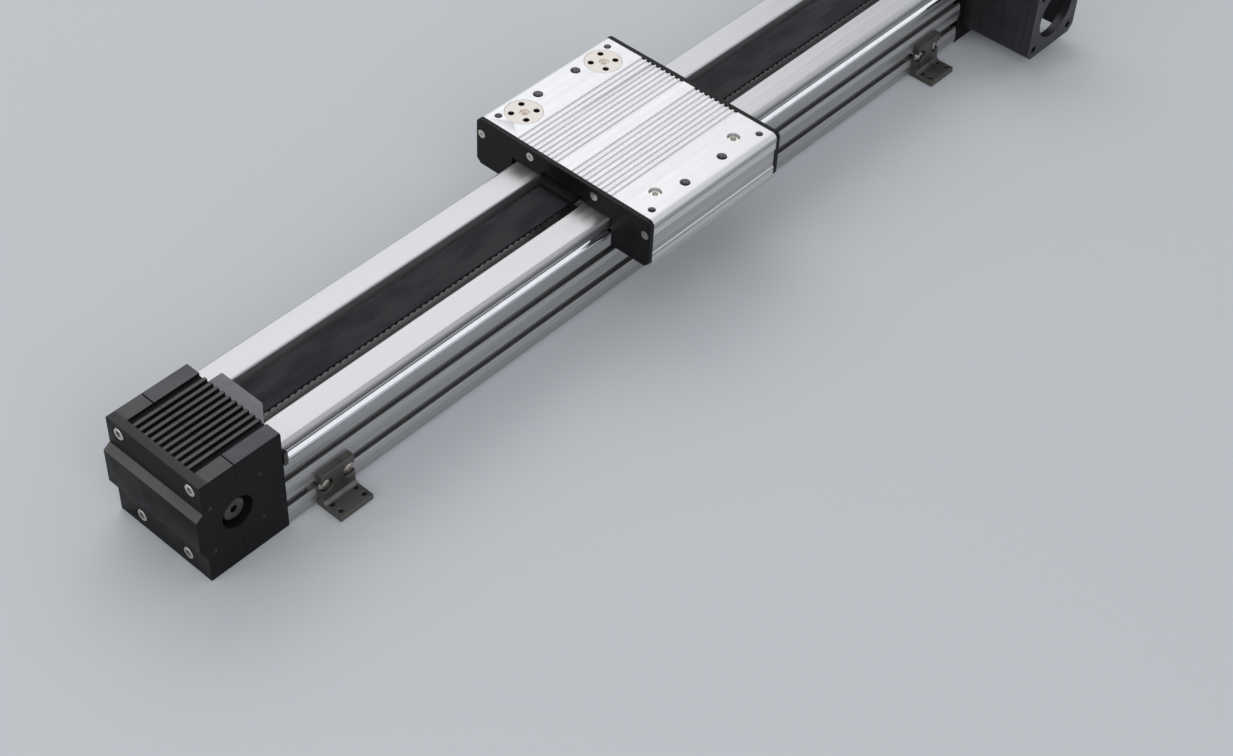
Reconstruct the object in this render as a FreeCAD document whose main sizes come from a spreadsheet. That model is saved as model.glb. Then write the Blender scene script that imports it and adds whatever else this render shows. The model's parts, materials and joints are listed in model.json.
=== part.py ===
import FreeCAD, Part
import math
import os
import re
import Sketcher

# Belt-driven linear stage with roller guides, in millimetres.
# X runs along the beam from the idler end to the driven end, Z is up, and the origin is at
# the middle of the beam's underside.

doc = FreeCAD.newDocument("linear_stage")
sheet = doc.addObject("Spreadsheet::Sheet", "dims")
nodes = {}

# Driving dimensions, one named value each
sizes = {
    # beam
    "profile_length": 660,
    "profile_width": 80,
    "profile_height": 67.5,
    "bottom_chamfer": 2,
    "channel_width": 38.5,
    "channel_depth": 17.5,
    "channel_edge_round": 1.2,
    "land_edge_round": 2.6,
    "slot_low_height": 17,
    "slot_high_height": 38,
    "slot_mouth": 6,
    "slot_flank_width": 16,
    "slot_flank_depth": 1,
    "slot_lip": 1.8,
    "slot_cavity_width": 11.5,
    "slot_cavity_depth": 4.7,
    "slot_cavity_bevel": 1.8,
    "recess_edge": 3.2,
    "recess_height": 12.8,
    "recess_depth": 2.5,
    "return_chamber_width": 31,
    "return_chamber_low": 6,
    "return_chamber_roof": 5,
    "beam_wall": 4,
    "slot_wall": 2,
    "core_diameter": 4.6,
    # guide rods
    "rod_diameter": 6,
    "rod_side": 39.5,
    "rod_drop": 11,
    "rod_chamfer": 0.6,
    "seat_clearance": 0.02,
    "rod_stop_length": 2.5,
    "rod_stop_width": 3.8,
    "rod_stop_height": 10,
    # belt and pulleys
    "belt_width": 25,
    "belt_pitch": 5,
    "belt_tooth_height": 1.2,
    "belt_tooth_base": 2.5,
    "belt_tooth_tip": 1.5,
    "belt_backing": 1.5,
    "belt_fit": 0.08,
    "pitch_line_offset": 0.6,
    "pulley_teeth": 32,
    "pulley_face": 26,
    "flange_thickness": 1.5,
    "flange_rise": 1.7,
    "pulley_bore": 24,
    "shaft_setback": 35,
    "shaft_drop": 27.5,
    # end housings
    "housing_length": 58.5,
    "housing_roof": 9.2,
    "housing_split": 25.5,
    "ledge_reach": 5,
    "ledge_low": 18,
    "ledge_face_low": 28,
    "ledge_face_high": 53,
    "ledge_high": 56.5,
    "cavity_width": 30,
    "cavity_radius": 27.8,
    "shoulder_width": 1,
    "shoulder_radius": 18,
    "window_diameter": 22,
    "side_hole_spacing": 36,
    "side_hole_diameter": 4.2,
    "side_hole_depth": 10,
    "rib_pitch": 5.1,
    "rib_groove_width": 2.6,
    "rib_groove_depth": 2.2,
    "rib_groove_count": 11,
    "rib_field_width": 57.2,
    "rib_margin": 5,
    "rib_runout": 3.5,
    "joint_notch": 0.6,
    "top_edge_chamfer": 0.8,
    "upper_screw_side": 30.3,
    "upper_screw_drop": 8.1,
    "lower_screw_side": 20.4,
    "lower_screw_height": 8.4,
    "screw_diameter": 5,
    "screw_head_diameter": 8.5,
    "screw_head_height": 5,
    "screw_clearance": 0.25,
    "screw_socket": 4,
    "socket_depth": 2.6,
    "upper_screw_length": 40,
    "lower_screw_grip": 12,
    "cover_width": 52,
    "cover_reach": 13.5,
    "cover_thickness": 2,
    "cover_tongue": 2,
    "cover_corner_x": 13.5,
    "cover_corner_y": 17,
    # bearings and shafts
    "bearing_outer": 42,
    "bearing_inner": 20,
    "bearing_width": 12,
    "outer_ring_wall": 3.5,
    "inner_ring_wall": 2.3,
    "shield_thickness": 0.8,
    "shield_gap": 0.3,
    "stub_diameter": 16,
    "stub_recess": 3.5,
    "journal_length": 22,
    "centre_hole_diameter": 5,
    "centre_hole_depth": 6,
    "shaft_chamfer": 0.8,
    # motor lantern
    "lantern_size": 60,
    "lantern_base": 7,
    "lantern_length": 59,
    "motor_plate": 6.5,
    "lantern_web": 5,
    "lantern_corner": 5,
    "base_bore": 34,
    "motor_bore": 40,
    "motor_pcd": 63,
    "motor_hole_diameter": 5.5,
    "lantern_screw_length": 15,
    "coupling_diameter": 30,
    "coupling_length": 24,
    "coupling_start": 5,
    "coupling_slot": 1.6,
    "claw_length": 8,
    "hub_screw_diameter": 4,
    "hub_screw_head": 6.8,
    "hub_screw_seat": 7,
    # brackets
    "bracket_idler_inset": 35,
    "bracket_drive_inset": 43,
    "bracket_width": 26,
    "bracket_reach": 20,
    "bracket_height": 27,
    "foot_thickness": 4,
    "leg_thickness": 5,
    "bracket_fillet": 3,
    "foot_hole_diameter": 3.2,
    "foot_hole_spacing_x": 18.6,
    "foot_hole_spacing_y": 7.2,
    "foot_hole_edge": 4.2,
    "bracket_screw_spacing": 18,
    "button_diameter": 9,
    "button_height": 2.7,
    "counterbore_depth": 3.2,
    "bracket_screw_length": 8,
    "nut_length": 16,
    "nut_width": 10.8,
    "nut_height": 4,
    "nut_bevel": 1.2,
    # carriage
    "carriage_rest": 5,
    "carriage_length": 120,
    "carriage_width": 150,
    "carriage_deck": 12.9,
    "carriage_gap": 3,
    "skirt_depth": 23.5,
    "skirt_thickness": 2.4,
    "carriage_edge_round": 4,
    "corner_land": 5.7,
    "corner_drop": 4,
    "side_recess_height": 14.5,
    "side_recess_drop": 11.9,
    "side_recess_depth": 0.6,
    "side_line_width": 0.6,
    "side_line_depth": 0.4,
    "side_line_pitch": 1.7,
    "groove_start": 6.5,
    "groove_pitch": 4.2,
    "groove_width": 2.9,
    "groove_depth": 1,
    "groove_count": 9,
    "corner_hole_x": 52.5,
    "corner_hole_y": 66,
    "corner_hole_diameter": 5,
    "middle_hole_x": 18,
    "middle_hole_y": 63.5,
    "middle_hole_diameter": 6.8,
    "plate_thickness": 3.5,
    "plate_leg_inner": 43.2,
    "plate_gap": 0.7,
    "plate_chamfer": 3.5,
    "notch_clearance": 0.9,
    "plate_screw_outer_y": 70.6,
    "plate_screw_outer_drop": 11.5,
    "plate_screw_inner_y": 27.6,
    "plate_screw_inner_drop": 5.8,
    "plate_screw_diameter": 3,
    "plate_screw_head": 6,
    "plate_screw_length": 11,
    # belt clamps
    "clamp_width": 36,
    "clamp_length": 26,
    "nose_width": 30,
    "nose_reach": 6.5,
    "grip_gap": 7.5,
    "belt_side_gap": 0.3,
    "clamp_screw_side": 15.4,
    "clamp_screw_spacing": 16,
    "clamp_screw_size": 3,
    "clamp_screw_head": 2,
    # rollers
    "roller_x": 38.2,
    "roller_y": 56.3,
    "roller_diameter": 30,
    "roller_width": 11,
    "roller_gap": 0.3,
    "roller_bore_clearance": 0.06,
    "roller_face_inner": 13,
    "roller_face_outer": 21,
    "roller_face_depth": 0.8,
    "roller_chamfer": 0.7,
    "axle_diameter": 8,
    "axle_top_diameter": 8.4,
    "axle_top_recess": 2,
    "axle_collar_diameter": 14,
    "axle_collar_thickness": 2,
    "spacer_diameter": 12,
    "end_play": 0.2,
    "retainer_diameter": 12,
    "retainer_thickness": 2,
    "hex_across": 4,
    "hex_depth": 1.6,
    "disc_diameter": 25.5,
    "disc_clearance": 0.08,
    "disc_thickness": 8.4,
    "disc_bore": 7,
    "disc_top_recess": 1,
    "disc_hole_diameter": 4.4,
    "disc_hole_radius": 8.4,
    "disc_hole_angle": 54.5,
    "disc_hole_depth": 4,
    "lower_bore": 18,
    "eccentricity": 0.75,
    "eccentric_collar": 23,
    # wipers
    "wiper_length": 5.5,
    "wiper_reach": 50,
    "wiper_inner": 40.7,
    "wiper_below": 4.2,
    "wiper_above": 4.5,
}

# Places and sizes that follow from the driving dimensions
follows = {
    "half_length": "profile_length / 2",
    "half_width": "profile_width / 2",
    "bracket_idler_x": "bracket_idler_inset - half_length",
    "bracket_drive_x": "half_length - bracket_drive_inset",
    "channel_floor": "profile_height - channel_depth",
    "recess_high": "profile_height - recess_edge",
    "recess_low": "recess_high - recess_height",
    "return_chamber_high": "channel_floor - return_chamber_roof",
    "rod_height": "profile_height - rod_drop",
    "shaft_height": "profile_height - shaft_drop",
    "carriage_under": "profile_height + carriage_gap",
    "carriage_top": "carriage_under + carriage_deck",
    "skirt_bottom": "carriage_under - skirt_depth",
    "side_recess_high": "carriage_top - side_recess_drop",
    "side_recess_low": "side_recess_high - side_recess_height",
    "plate_bar_bottom": "profile_height + plate_gap",
    "plate_screw_outer_z": "carriage_top - plate_screw_outer_drop",
    "plate_screw_inner_z": "carriage_top - plate_screw_inner_drop",
    "grip_bottom": "channel_floor + grip_gap",
    "wiper_low": "rod_height - wiper_below",
    "wiper_high": "rod_height + wiper_above",
    "shaft_x": "half_length + shaft_setback",
    "pitch_radius": "pulley_teeth * belt_pitch / (2 * pi)",
    "tip_radius": "pitch_radius - pitch_line_offset",
    "root_radius": "tip_radius - belt_tooth_height - belt_fit",
    "belt_inner_radius": "tip_radius + belt_fit",
    "belt_outer_radius": "belt_inner_radius + belt_backing",
    "belt_top": "shaft_height + belt_outer_radius",
    "belt_root": "shaft_height + belt_inner_radius",
    "belt_length": "4 * shaft_x + 2 * pi * pitch_radius",
    "belt_teeth": "round(belt_length / belt_pitch)",
    "tooth_spacing": "belt_length / belt_teeth",
    "front_face": "half_length + housing_length",
    "split_x": "front_face - housing_split",
    "housing_height": "shaft_height + cavity_radius + housing_roof",
    "upper_screw_height": "housing_height - upper_screw_drop",
    "bearing_start": "cavity_width / 2 + shoulder_width",
    "bearing_end": "bearing_start + bearing_width",
    "bearing_seat": "bearing_outer / 2 + seat_clearance",
    "head_depth": "screw_head_height + 0.2",
    "screw_hole": "screw_diameter / 2 + screw_clearance",
    "rod_seat": "rod_diameter / 2 + seat_clearance",
    "cavity_floor": "half_width - slot_flank_depth - slot_lip - slot_cavity_depth",
    "slot_lip_back": "half_width - slot_flank_depth - slot_lip",
    "half_carriage": "carriage_length / 2",
    "half_span": "carriage_width / 2",
    "skirt_inner": "half_span - skirt_thickness",
    "plate_front": "half_carriage + plate_thickness",
    "roller_top": "rod_height + roller_width / 2",
    "roller_bottom": "rod_height - roller_width / 2",
    "rod_distance": "roller_y - rod_side",
    "axle_radius": "axle_diameter / 2",
    "disc_y": "roller_y + eccentricity",
    "disc_seat": "carriage_top - disc_thickness",
    "lantern_front": "half_width + lantern_length",
}

word = re.compile(r"[a-z_][a-z_0-9]*")


def fill_sheet():
    for row, (name, number) in enumerate(sizes.items(), start=1):
        cell = "B%d" % row
        sheet.set("A%d" % row, name)
        sheet.set(cell, str(number))
        sheet.setAlias(cell, name)
    doc.recompute()


def formula(text):
    # A formula with the sheet's names in full and the values that follow written out
    def full(match):
        name = match.group(0)
        if name in sizes:
            return "dims." + name
        if name in follows:
            return "(" + formula(follows[name]) + ")"
        return name
    return word.sub(full, str(text))


def value(text):
    return float(sheet.evalExpression(formula(text)))


def bind(thing, prop, text):
    thing.setExpression(prop, formula(text))


def minus(text):
    return "-(%s)" % text


# Sketches and solids

def add_outline(sketch, points):
    # A closed outline of straight sides, each corner held by two bound distances
    first = sketch.GeometryCount
    corners = [FreeCAD.Vector(value(a), value(b), 0) for a, b in points]
    count = len(corners)
    sides = [Part.LineSegment(corners[k], corners[(k + 1) % count]) for k in range(count)]
    sketch.addGeometry(sides, False)
    joins = []
    for k in range(count):
        joins.append(Sketcher.Constraint("Coincident", first + k, 2, first + (k + 1) % count, 1))
    sketch.addConstraint(joins)
    for k, (a, b) in enumerate(points):
        for kind, text in (("DistanceX", a), ("DistanceY", b)):
            place = Sketcher.Constraint(kind, -1, 1, first + k, 1, value(text))
            index = sketch.addConstraint(place)
            bind(sketch, "Constraints[%d]" % index, text)


def add_circle(sketch, a, b, radius):
    centre = FreeCAD.Vector(value(a), value(b), 0)
    circle = Part.Circle(centre, FreeCAD.Vector(0, 0, 1), value(radius))
    geo = sketch.addGeometry(circle, False)
    rules = (("DistanceX", a), ("DistanceY", b))
    for kind, text in rules:
        index = sketch.addConstraint(Sketcher.Constraint(kind, -1, 1, geo, 3, value(text)))
        bind(sketch, "Constraints[%d]" % index, text)
    index = sketch.addConstraint(Sketcher.Constraint("Radius", geo, value(radius)))
    bind(sketch, "Constraints[%d]" % index, radius)


def box_outline(left, low, right, high):
    return [(left, low), (right, low), (right, high), (left, high)]


def mirrored_outline(half):
    # The outline whose right half is given from the bottom centre up to the top centre
    left = [(minus(a), b) for a, b in reversed(half) if str(a) != "0"]
    return half + left


normals = {"XY_Plane": 1, "YZ_Plane": 1, "XZ_Plane": -1}


class Piece:
    # One solid sub-part, made of sketches and features that read the sheet
    def __init__(self, name):
        self.name = name
        self.body = doc.addObject("PartDesign::Body", name)
        self.body.Label = name
        self.steps = 0

    def feature(self, kind, sketch=None):
        self.steps += 1
        made = self.body.newObject("PartDesign::" + kind, "%s_%s_%d" % (self.name, kind, self.steps))
        if sketch is not None:
            made.Profile = sketch
            sketch.Visibility = False
        return made

    def sketch(self, plane, height="0"):
        self.steps += 1
        sketch = self.body.newObject("Sketcher::SketchObject", "%s_sketch_%d" % (self.name, self.steps))
        origin = [o for o in self.body.Origin.OriginFeatures if o.Role == plane][0]
        sketch.AttachmentSupport = (origin, [""])
        sketch.MapMode = "FlatFace"
        if height != "0":
            bind(sketch, "AttachmentOffset.Base.z", height)
        return sketch

    def draw(self, plane, height, shapes):
        sketch = self.sketch(plane, height)
        for shape in shapes:
            if isinstance(shape, tuple):
                add_circle(sketch, *shape)
            else:
                add_outline(sketch, shape)
        return sketch

    def pad(self, plane, shapes, low, high):
        # Material from low to high along the axis that the plane faces
        start = low if normals[plane] > 0 else minus(high)
        made = self.feature("Pad", self.draw(plane, start, shapes))
        bind(made, "Length", "(%s) - (%s)" % (high, low))
        return made

    def pocket(self, plane, shapes, low, high):
        # A cut from low to high along the axis that the plane faces
        start = high if normals[plane] > 0 else minus(low)
        made = self.feature("Pocket", self.draw(plane, start, shapes))
        made.Type = "Length"
        bind(made, "Length", "(%s) - (%s)" % (high, low))
        return made

    def turn(self, points, cut=False):
        # A turned form about the piece's own Z axis, from points of radius and height
        kind = "Groove" if cut else "Revolution"
        sketch = self.draw("XZ_Plane", "0", [points])
        made = self.feature(kind, sketch)
        made.ReferenceAxis = (sketch, ["V_Axis"])
        made.Angle = 360
        return made

    def row(self, original, axis, length, count):
        made = self.feature("LinearPattern")
        made.Originals = [original]
        made.Direction = (original.Profile[0], [axis])
        bind(made, "Length", length)
        bind(made, "Occurrences", count)
        self.body.Tip = made
        return made

    def ring(self, original, count):
        made = self.feature("PolarPattern")
        made.Originals = [original]
        made.Axis = (original.Profile[0], ["N_Axis"])
        made.Angle = 360
        bind(made, "Occurrences", count)
        self.body.Tip = made
        return made

    def mirror(self, originals, plane):
        made = self.feature("Mirrored")
        made.Originals = originals
        origin = [o for o in self.body.Origin.OriginFeatures if o.Role == plane][0]
        made.MirrorPlane = (origin, [""])
        self.body.Tip = made
        return made

    def edges(self, test):
        # Names of the straight edges whose middle passes the test
        doc.recompute()
        found = []
        for k, edge in enumerate(self.body.Tip.Shape.Edges, start=1):
            if test(edge):
                found.append("Edge%d" % k)
        return found

    def soften(self, kind, size, test):
        names = self.edges(test)
        tip = self.body.Tip
        made = self.feature(kind)
        made.Base = (tip, names)
        bind(made, "Radius" if kind == "Fillet" else "Size", size)
        self.body.Tip = made
        return made

    def done(self, x="0", y="0", z="0", turned=None):
        bind(self.body, "Placement.Base.x", x)
        bind(self.body, "Placement.Base.y", y)
        bind(self.body, "Placement.Base.z", z)
        if turned is not None:
            axis, angle = turned
            turn = FreeCAD.Rotation(FreeCAD.Vector(*axis), 0)
            self.body.Placement = FreeCAD.Placement(self.body.Placement.Base, turn)
            self.body.Placement.Rotation.Axis = FreeCAD.Vector(*axis)
            bind(self.body, "Placement.Rotation.Axis.x", str(axis[0]))
            bind(self.body, "Placement.Rotation.Axis.y", str(axis[1]))
            bind(self.body, "Placement.Rotation.Axis.z", str(axis[2]))
            bind(self.body, "Placement.Rotation.Angle", str(angle))
        return self.body


def keep(thing, name=None):
    if name is not None:
        thing.Label = name
    nodes[thing.Label] = thing
    return thing


def group(name, template, places):
    # Copies of one template as a node of separate solids; a place is x, y, z, axis and angle
    copies = []
    for k, (x, y, z, axis, angle) in enumerate(places):
        copy = doc.addObject("App::Link", "%s_%d" % (name, k + 1))
        copy.setLink(template)
        copy.Placement = FreeCAD.Placement()
        for prop, text in (("x", x), ("y", y), ("z", z)):
            bind(copy, "Placement.Base." + prop, text)
        for prop, number in zip("xyz", axis):
            bind(copy, "Placement.Rotation.Axis." + prop, str(number))
        bind(copy, "Placement.Rotation.Angle", str(angle))
        copies.append(copy)
    whole = doc.addObject("Part::Compound", name)
    whole.Links = copies
    return keep(whole, name)


def along_x(y, z):
    # Tests an edge for lying along X at a side distance and a height
    def test(edge):
        if abs(edge.BoundBox.YLength) > 0.01 or abs(edge.BoundBox.ZLength) > 0.01:
            return False
        middle = edge.BoundBox.Center
        return abs(abs(middle.y) - value(y)) < 0.01 and abs(middle.z - value(z)) < 0.01
    return test


# Beam and guide rods

def slot_corners(height):
    # One T-slot on the right side, from its lower flank to its upper flank
    half = [
        ("half_width", "slot_flank_width / 2"),
        ("half_width - slot_flank_depth", "slot_mouth / 2"),
        ("slot_lip_back", "slot_mouth / 2"),
        ("slot_lip_back", "slot_cavity_width / 2"),
        ("cavity_floor + slot_cavity_bevel", "slot_cavity_width / 2"),
        ("cavity_floor", "slot_cavity_width / 2 - slot_cavity_bevel"),
    ]
    lower = [(a, "%s - (%s)" % (height, b)) for a, b in half]
    upper = [(a, "%s + (%s)" % (height, b)) for a, b in reversed(half)]
    return lower + upper


def profile_extrusion():
    piece = Piece("profile_extrusion")
    half = [("0", "0"), ("half_width - bottom_chamfer", "0"), ("half_width", "bottom_chamfer")]
    half += slot_corners("slot_low_height")
    half += slot_corners("slot_high_height")
    half += [
        ("half_width", "recess_low"),
        ("half_width - recess_depth", "recess_low"),
        ("half_width - recess_depth", "recess_high"),
        ("half_width", "recess_high"),
        ("half_width", "profile_height"),
        ("channel_width / 2", "profile_height"),
        ("channel_width / 2", "channel_floor"),
        ("0", "channel_floor"),
    ]
    piece.pad("YZ_Plane", [mirrored_outline(half)], "-half_length", "half_length")
    rods = [(minus("rod_side"), "rod_height", "rod_seat"), ("rod_side", "rod_height", "rod_seat")]
    piece.pocket("YZ_Plane", rods, "-half_length", "half_length")
    inner = "return_chamber_width / 2 + beam_wall"
    low_chamber = ("slot_low_height - slot_cavity_bevel", "slot_high_height + slot_cavity_bevel")
    chambers = [box_outline("-return_chamber_width / 2", "return_chamber_low",
                            "return_chamber_width / 2", "return_chamber_high")]
    for side in (1, -1):
        near = ["%d * (%s)" % (side, inner), "%d * (cavity_floor - slot_wall)" % side]
        far = ["%d * (channel_width / 2 + beam_wall)" % side,
               "%d * (half_width - recess_depth - beam_wall)" % side]
        if side < 0:
            near.reverse()
            far.reverse()
        chambers.append(box_outline(near[0], low_chamber[0], near[1], low_chamber[1]))
        chambers.append(box_outline(far[0], "channel_floor - 2", far[1], "recess_high - beam_wall"))
    piece.pocket("YZ_Plane", chambers, "-half_length", "half_length")
    cores = [("%d * lower_screw_side" % side, "lower_screw_height", "core_diameter / 2") for side in (1, -1)]
    piece.pocket("YZ_Plane", cores, "-half_length", "half_length")
    piece.soften("Fillet", "land_edge_round", along_x("half_width", "profile_height"))
    piece.soften("Fillet", "channel_edge_round", along_x("channel_width / 2", "profile_height"))
    return keep(piece.done())


def guide_rod(name, side):
    piece = Piece(name)
    piece.pad("YZ_Plane", [("0", "0", "rod_diameter / 2")],
              "-half_length + rod_stop_length", "half_length - rod_stop_length")
    piece.soften("Chamfer", "rod_chamfer", lambda edge: edge.Closed)
    return keep(piece.done(y="%d * rod_side" % side, z="rod_height"))


def rod_end_stops():
    stop = doc.addObject("Part::Box", "rod_end_stop")
    bind(stop, "Length", "rod_stop_length")
    bind(stop, "Width", "rod_stop_width")
    bind(stop, "Height", "rod_stop_height")
    low = "rod_height - rod_stop_height / 2"
    inner = "half_width - recess_depth"
    places = []
    for x in ("-half_length", "half_length - rod_stop_length"):
        places.append((x, inner, low, (0, 0, 1), 0))
        places.append((x, "-(%s) - rod_stop_width" % inner, low, (0, 0, 1), 0))
    return group("rod_end_stops", stop, places)


# End housings; both ends use the same pieces, turned half a turn about Z

half_turn = {"idler": ((0, 0, 1), 0), "drive": ((0, 0, 1), 180)}


def shaft_circle(radius):
    return ("-shaft_x", "shaft_height", radius)


def cut_shaft_seats(piece):
    # Pulley space, bearing shoulders, bearing seats and the round windows in both sides
    piece.pocket("XZ_Plane", [shaft_circle("cavity_radius")], "-cavity_width / 2", "cavity_width / 2")
    piece.pocket("XZ_Plane", [shaft_circle("shoulder_radius")], "-bearing_end", "bearing_end")
    for low, high in (("bearing_start", "bearing_end"), ("-bearing_end", "-bearing_start")):
        piece.pocket("XZ_Plane", [shaft_circle("bearing_seat")], low, high)
    piece.pocket("XZ_Plane", [shaft_circle("window_diameter / 2")], "-half_width", "half_width")


def cut_ribs(piece, start, end, runout):
    # Parallel ribs along X: one groove, repeated across the top
    lip = "housing_height + 1"
    floor = "housing_height - rib_groove_depth"
    outline = [(start, lip), ("%s + %s" % (start, runout), floor), (end, floor), (end, lip)]
    if runout == "0":
        outline = box_outline(start, floor, end, lip)
    edge = "rib_pitch * (rib_groove_count - 1) / 2"
    groove = piece.pocket("XZ_Plane", [outline], "%s - rib_groove_width / 2" % edge,
                          "%s + rib_groove_width / 2" % edge)
    sides = ("%s + rib_groove_width / 4" % edge, "rib_field_width / 2")
    piece.pocket("XZ_Plane", [outline], sides[0], sides[1])
    piece.pocket("XZ_Plane", [outline], minus(sides[1]), minus(sides[0]))
    return groove


def side_holes(piece, x):
    # Tapped holes round the shaft window, in both sides
    half = "side_hole_spacing / 2"
    circles = [(x, "shaft_height + %s" % half, "side_hole_diameter / 2"),
               (x, "shaft_height - %s" % half, "side_hole_diameter / 2")]
    piece.pocket("XZ_Plane", circles, "half_width - side_hole_depth", "half_width")
    piece.pocket("XZ_Plane", circles, "-half_width", "-half_width + side_hole_depth")


def screw_circles(side, height, radius):
    return [(side, height, radius), (minus(side), height, radius)]


def housing_front(end):
    piece = Piece(end + "_housing_front")
    outline = [
        ("-split_x", "0"),
        ("-split_x", "housing_height"),
        ("-front_face", "housing_height"),
        ("-front_face", "ledge_high"),
        ("-front_face - ledge_reach", "ledge_face_high"),
        ("-front_face - ledge_reach", "ledge_face_low"),
        ("-front_face", "ledge_low"),
        ("-front_face", "0"),
    ]
    piece.pad("XZ_Plane", [outline], "-half_width", "half_width")
    piece.soften("Chamfer", "top_edge_chamfer", along_x("half_width", "housing_height"))
    cut_shaft_seats(piece)
    for radius, low, high in (("cavity_radius", "-cavity_width / 2", "cavity_width / 2"),
                              ("bearing_seat", "bearing_start", "bearing_end"),
                              ("bearing_seat", "-bearing_end", "-bearing_start"),
                              ("window_diameter / 2", "-half_width", "half_width")):
        straight = box_outline("-shaft_x", "shaft_height - %s" % radius,
                               "-split_x", "shaft_height + %s" % radius)
        piece.pocket("XZ_Plane", [straight], low, high)
    side_holes(piece, "-shaft_x - side_hole_spacing / 2")
    holes = screw_circles("upper_screw_side", "upper_screw_height", "screw_hole")
    holes += screw_circles("lower_screw_side", "lower_screw_height", "screw_hole")
    piece.pocket("YZ_Plane", holes, "-front_face", "-split_x")
    head_seat = "screw_head_diameter / 2 + screw_clearance"
    heads = screw_circles("upper_screw_side", "upper_screw_height", head_seat)
    heads += screw_circles("lower_screw_side", "lower_screw_height", head_seat)
    piece.pocket("YZ_Plane", heads, "-front_face", "-front_face + head_depth")
    groove = cut_ribs(piece, "-front_face + rib_margin", "-split_x", "rib_runout")
    for side in (1, -1):
        strip = sorted(["%d * rib_field_width / 2" % side, "%d * half_width" % side], key=value)
        piece.pocket("XZ_Plane", [box_outline("-split_x - joint_notch", "housing_height - 2 * joint_notch",
                                              "-split_x", "housing_height + 1")], strip[0], strip[1])
    piece.row(groove, "N_Axis", "rib_pitch * (rib_groove_count - 1)", "rib_groove_count")
    return keep(piece.done(turned=half_turn[end]))


def housing_rear(end):
    piece = Piece(end + "_housing_rear")
    piece.pad("XZ_Plane", [box_outline("-split_x", "0", "-half_length", "housing_height")],
              "-half_width", "half_width")
    piece.soften("Chamfer", "top_edge_chamfer", along_x("half_width", "housing_height"))
    cut_shaft_seats(piece)
    belt_way = box_outline("-shaft_x", "shaft_height - cavity_radius",
                           "-half_length", "shaft_height + cavity_radius")
    piece.pocket("XZ_Plane", [belt_way], "-cavity_width / 2", "cavity_width / 2")
    side_holes(piece, "-shaft_x + side_hole_spacing / 2")
    threads = screw_circles("upper_screw_side", "upper_screw_height", "side_hole_diameter / 2")
    piece.pocket("YZ_Plane", threads, "-split_x", "-front_face + head_depth + upper_screw_length + 1")
    passes = screw_circles("lower_screw_side", "lower_screw_height", "screw_hole")
    piece.pocket("YZ_Plane", passes, "-split_x", "-half_length")
    tongue = box_outline("-cover_width / 2", "profile_height",
                         "cover_width / 2", "profile_height + cover_thickness")
    piece.pocket("YZ_Plane", [tongue], "-half_length - cover_tongue", "-half_length")
    groove = cut_ribs(piece, "-split_x", "-half_length", "0")
    piece.row(groove, "N_Axis", "rib_pitch * (rib_groove_count - 1)", "rib_groove_count")
    return keep(piece.done(turned=half_turn[end]))


def slot_cover(end):
    # Flat cover over the belt slot, its tongue held in the housing's rear face
    piece = Piece(end + "_slot_cover")
    edge = "-half_length + cover_reach"
    outline = [
        ("-half_length - cover_tongue", "-cover_width / 2"),
        ("-half_length", "-cover_width / 2"),
        (edge, "-cover_width / 2 + cover_corner_y"),
        (edge, "cover_width / 2"),
        ("-half_length - cover_tongue", "cover_width / 2"),
    ]
    piece.pad("XY_Plane", [outline], "profile_height", "profile_height + cover_thickness")
    return keep(piece.done(turned=half_turn[end]))


def socket_screw(name, diameter, length, head_diameter, head_height, socket, depth):
    # A socket head screw along its own Z axis, the head's underside at zero and the head above
    piece = Piece(name)
    piece.turn([("0", minus(length)), ("%s / 2" % diameter, minus(length)), ("%s / 2" % diameter, "0"),
                ("%s / 2" % head_diameter, "0"), ("%s / 2" % head_diameter, "%s - 0.4" % head_height),
                ("%s / 2 - 0.4" % head_diameter, head_height), ("0", head_height)])
    cut_hex(piece, socket, head_height, depth)
    return piece.done()


def cut_hex(piece, across, top, depth):
    corners = []
    for k in range(6):
        angle = 60 * k
        corners.append(("%s / sqrt(3) * cos(%d)" % (across, angle),
                        "%s / sqrt(3) * sin(%d)" % (across, angle)))
    piece.pocket("XY_Plane", [corners], "%s - (%s)" % (top, depth), top)


def housing_screws(end):
    upper = socket_screw(end + "_upper_screw", "(screw_diameter - 1)", "upper_screw_length", "screw_head_diameter",
                         "screw_head_height", "screw_socket", "socket_depth")
    lower = socket_screw(end + "_lower_screw", "(core_diameter - 0.2)",
                         "housing_length - head_depth + lower_screw_grip", "screw_head_diameter",
                         "screw_head_height", "screw_socket", "socket_depth")
    sign = "-1" if end == "idler" else "1"
    seat = "%s * (front_face - head_depth)" % sign
    turn = ((0, 1, 0), -90 if end == "idler" else 90)
    copies = []
    for template, side, height in ((upper, "upper_screw_side", "upper_screw_height"),
                                   (lower, "lower_screw_side", "lower_screw_height")):
        for y in (side, minus(side)):
            copies.append((template, (seat, y, height, turn[0], turn[1])))
    return mixed_group(end + "_housing_screws", copies)


def mixed_group(name, copies):
    # Like group, with a template for each copy
    made = []
    for k, (template, place) in enumerate(copies):
        x, y, z, axis, angle = place
        copy = doc.addObject("App::Link", "%s_%d" % (name, k + 1))
        copy.setLink(template)
        copy.Placement = FreeCAD.Placement()
        for prop, text in (("x", x), ("y", y), ("z", z)):
            bind(copy, "Placement.Base." + prop, text)
        for prop, number in zip("xyz", axis):
            bind(copy, "Placement.Rotation.Axis." + prop, str(number))
        bind(copy, "Placement.Rotation.Angle", str(angle))
        made.append(copy)
    whole = doc.addObject("Part::Compound", name)
    whole.Links = made
    return keep(whole, name)


# Pulleys, shafts and bearings; each is turned about its own Z axis, which then points along Y

across_y = ((1, 0, 0), -90)


def shaft_place(end):
    return {"x": "-shaft_x" if end == "idler" else "shaft_x", "y": "0", "z": "shaft_height", "turned": across_y}


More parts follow.
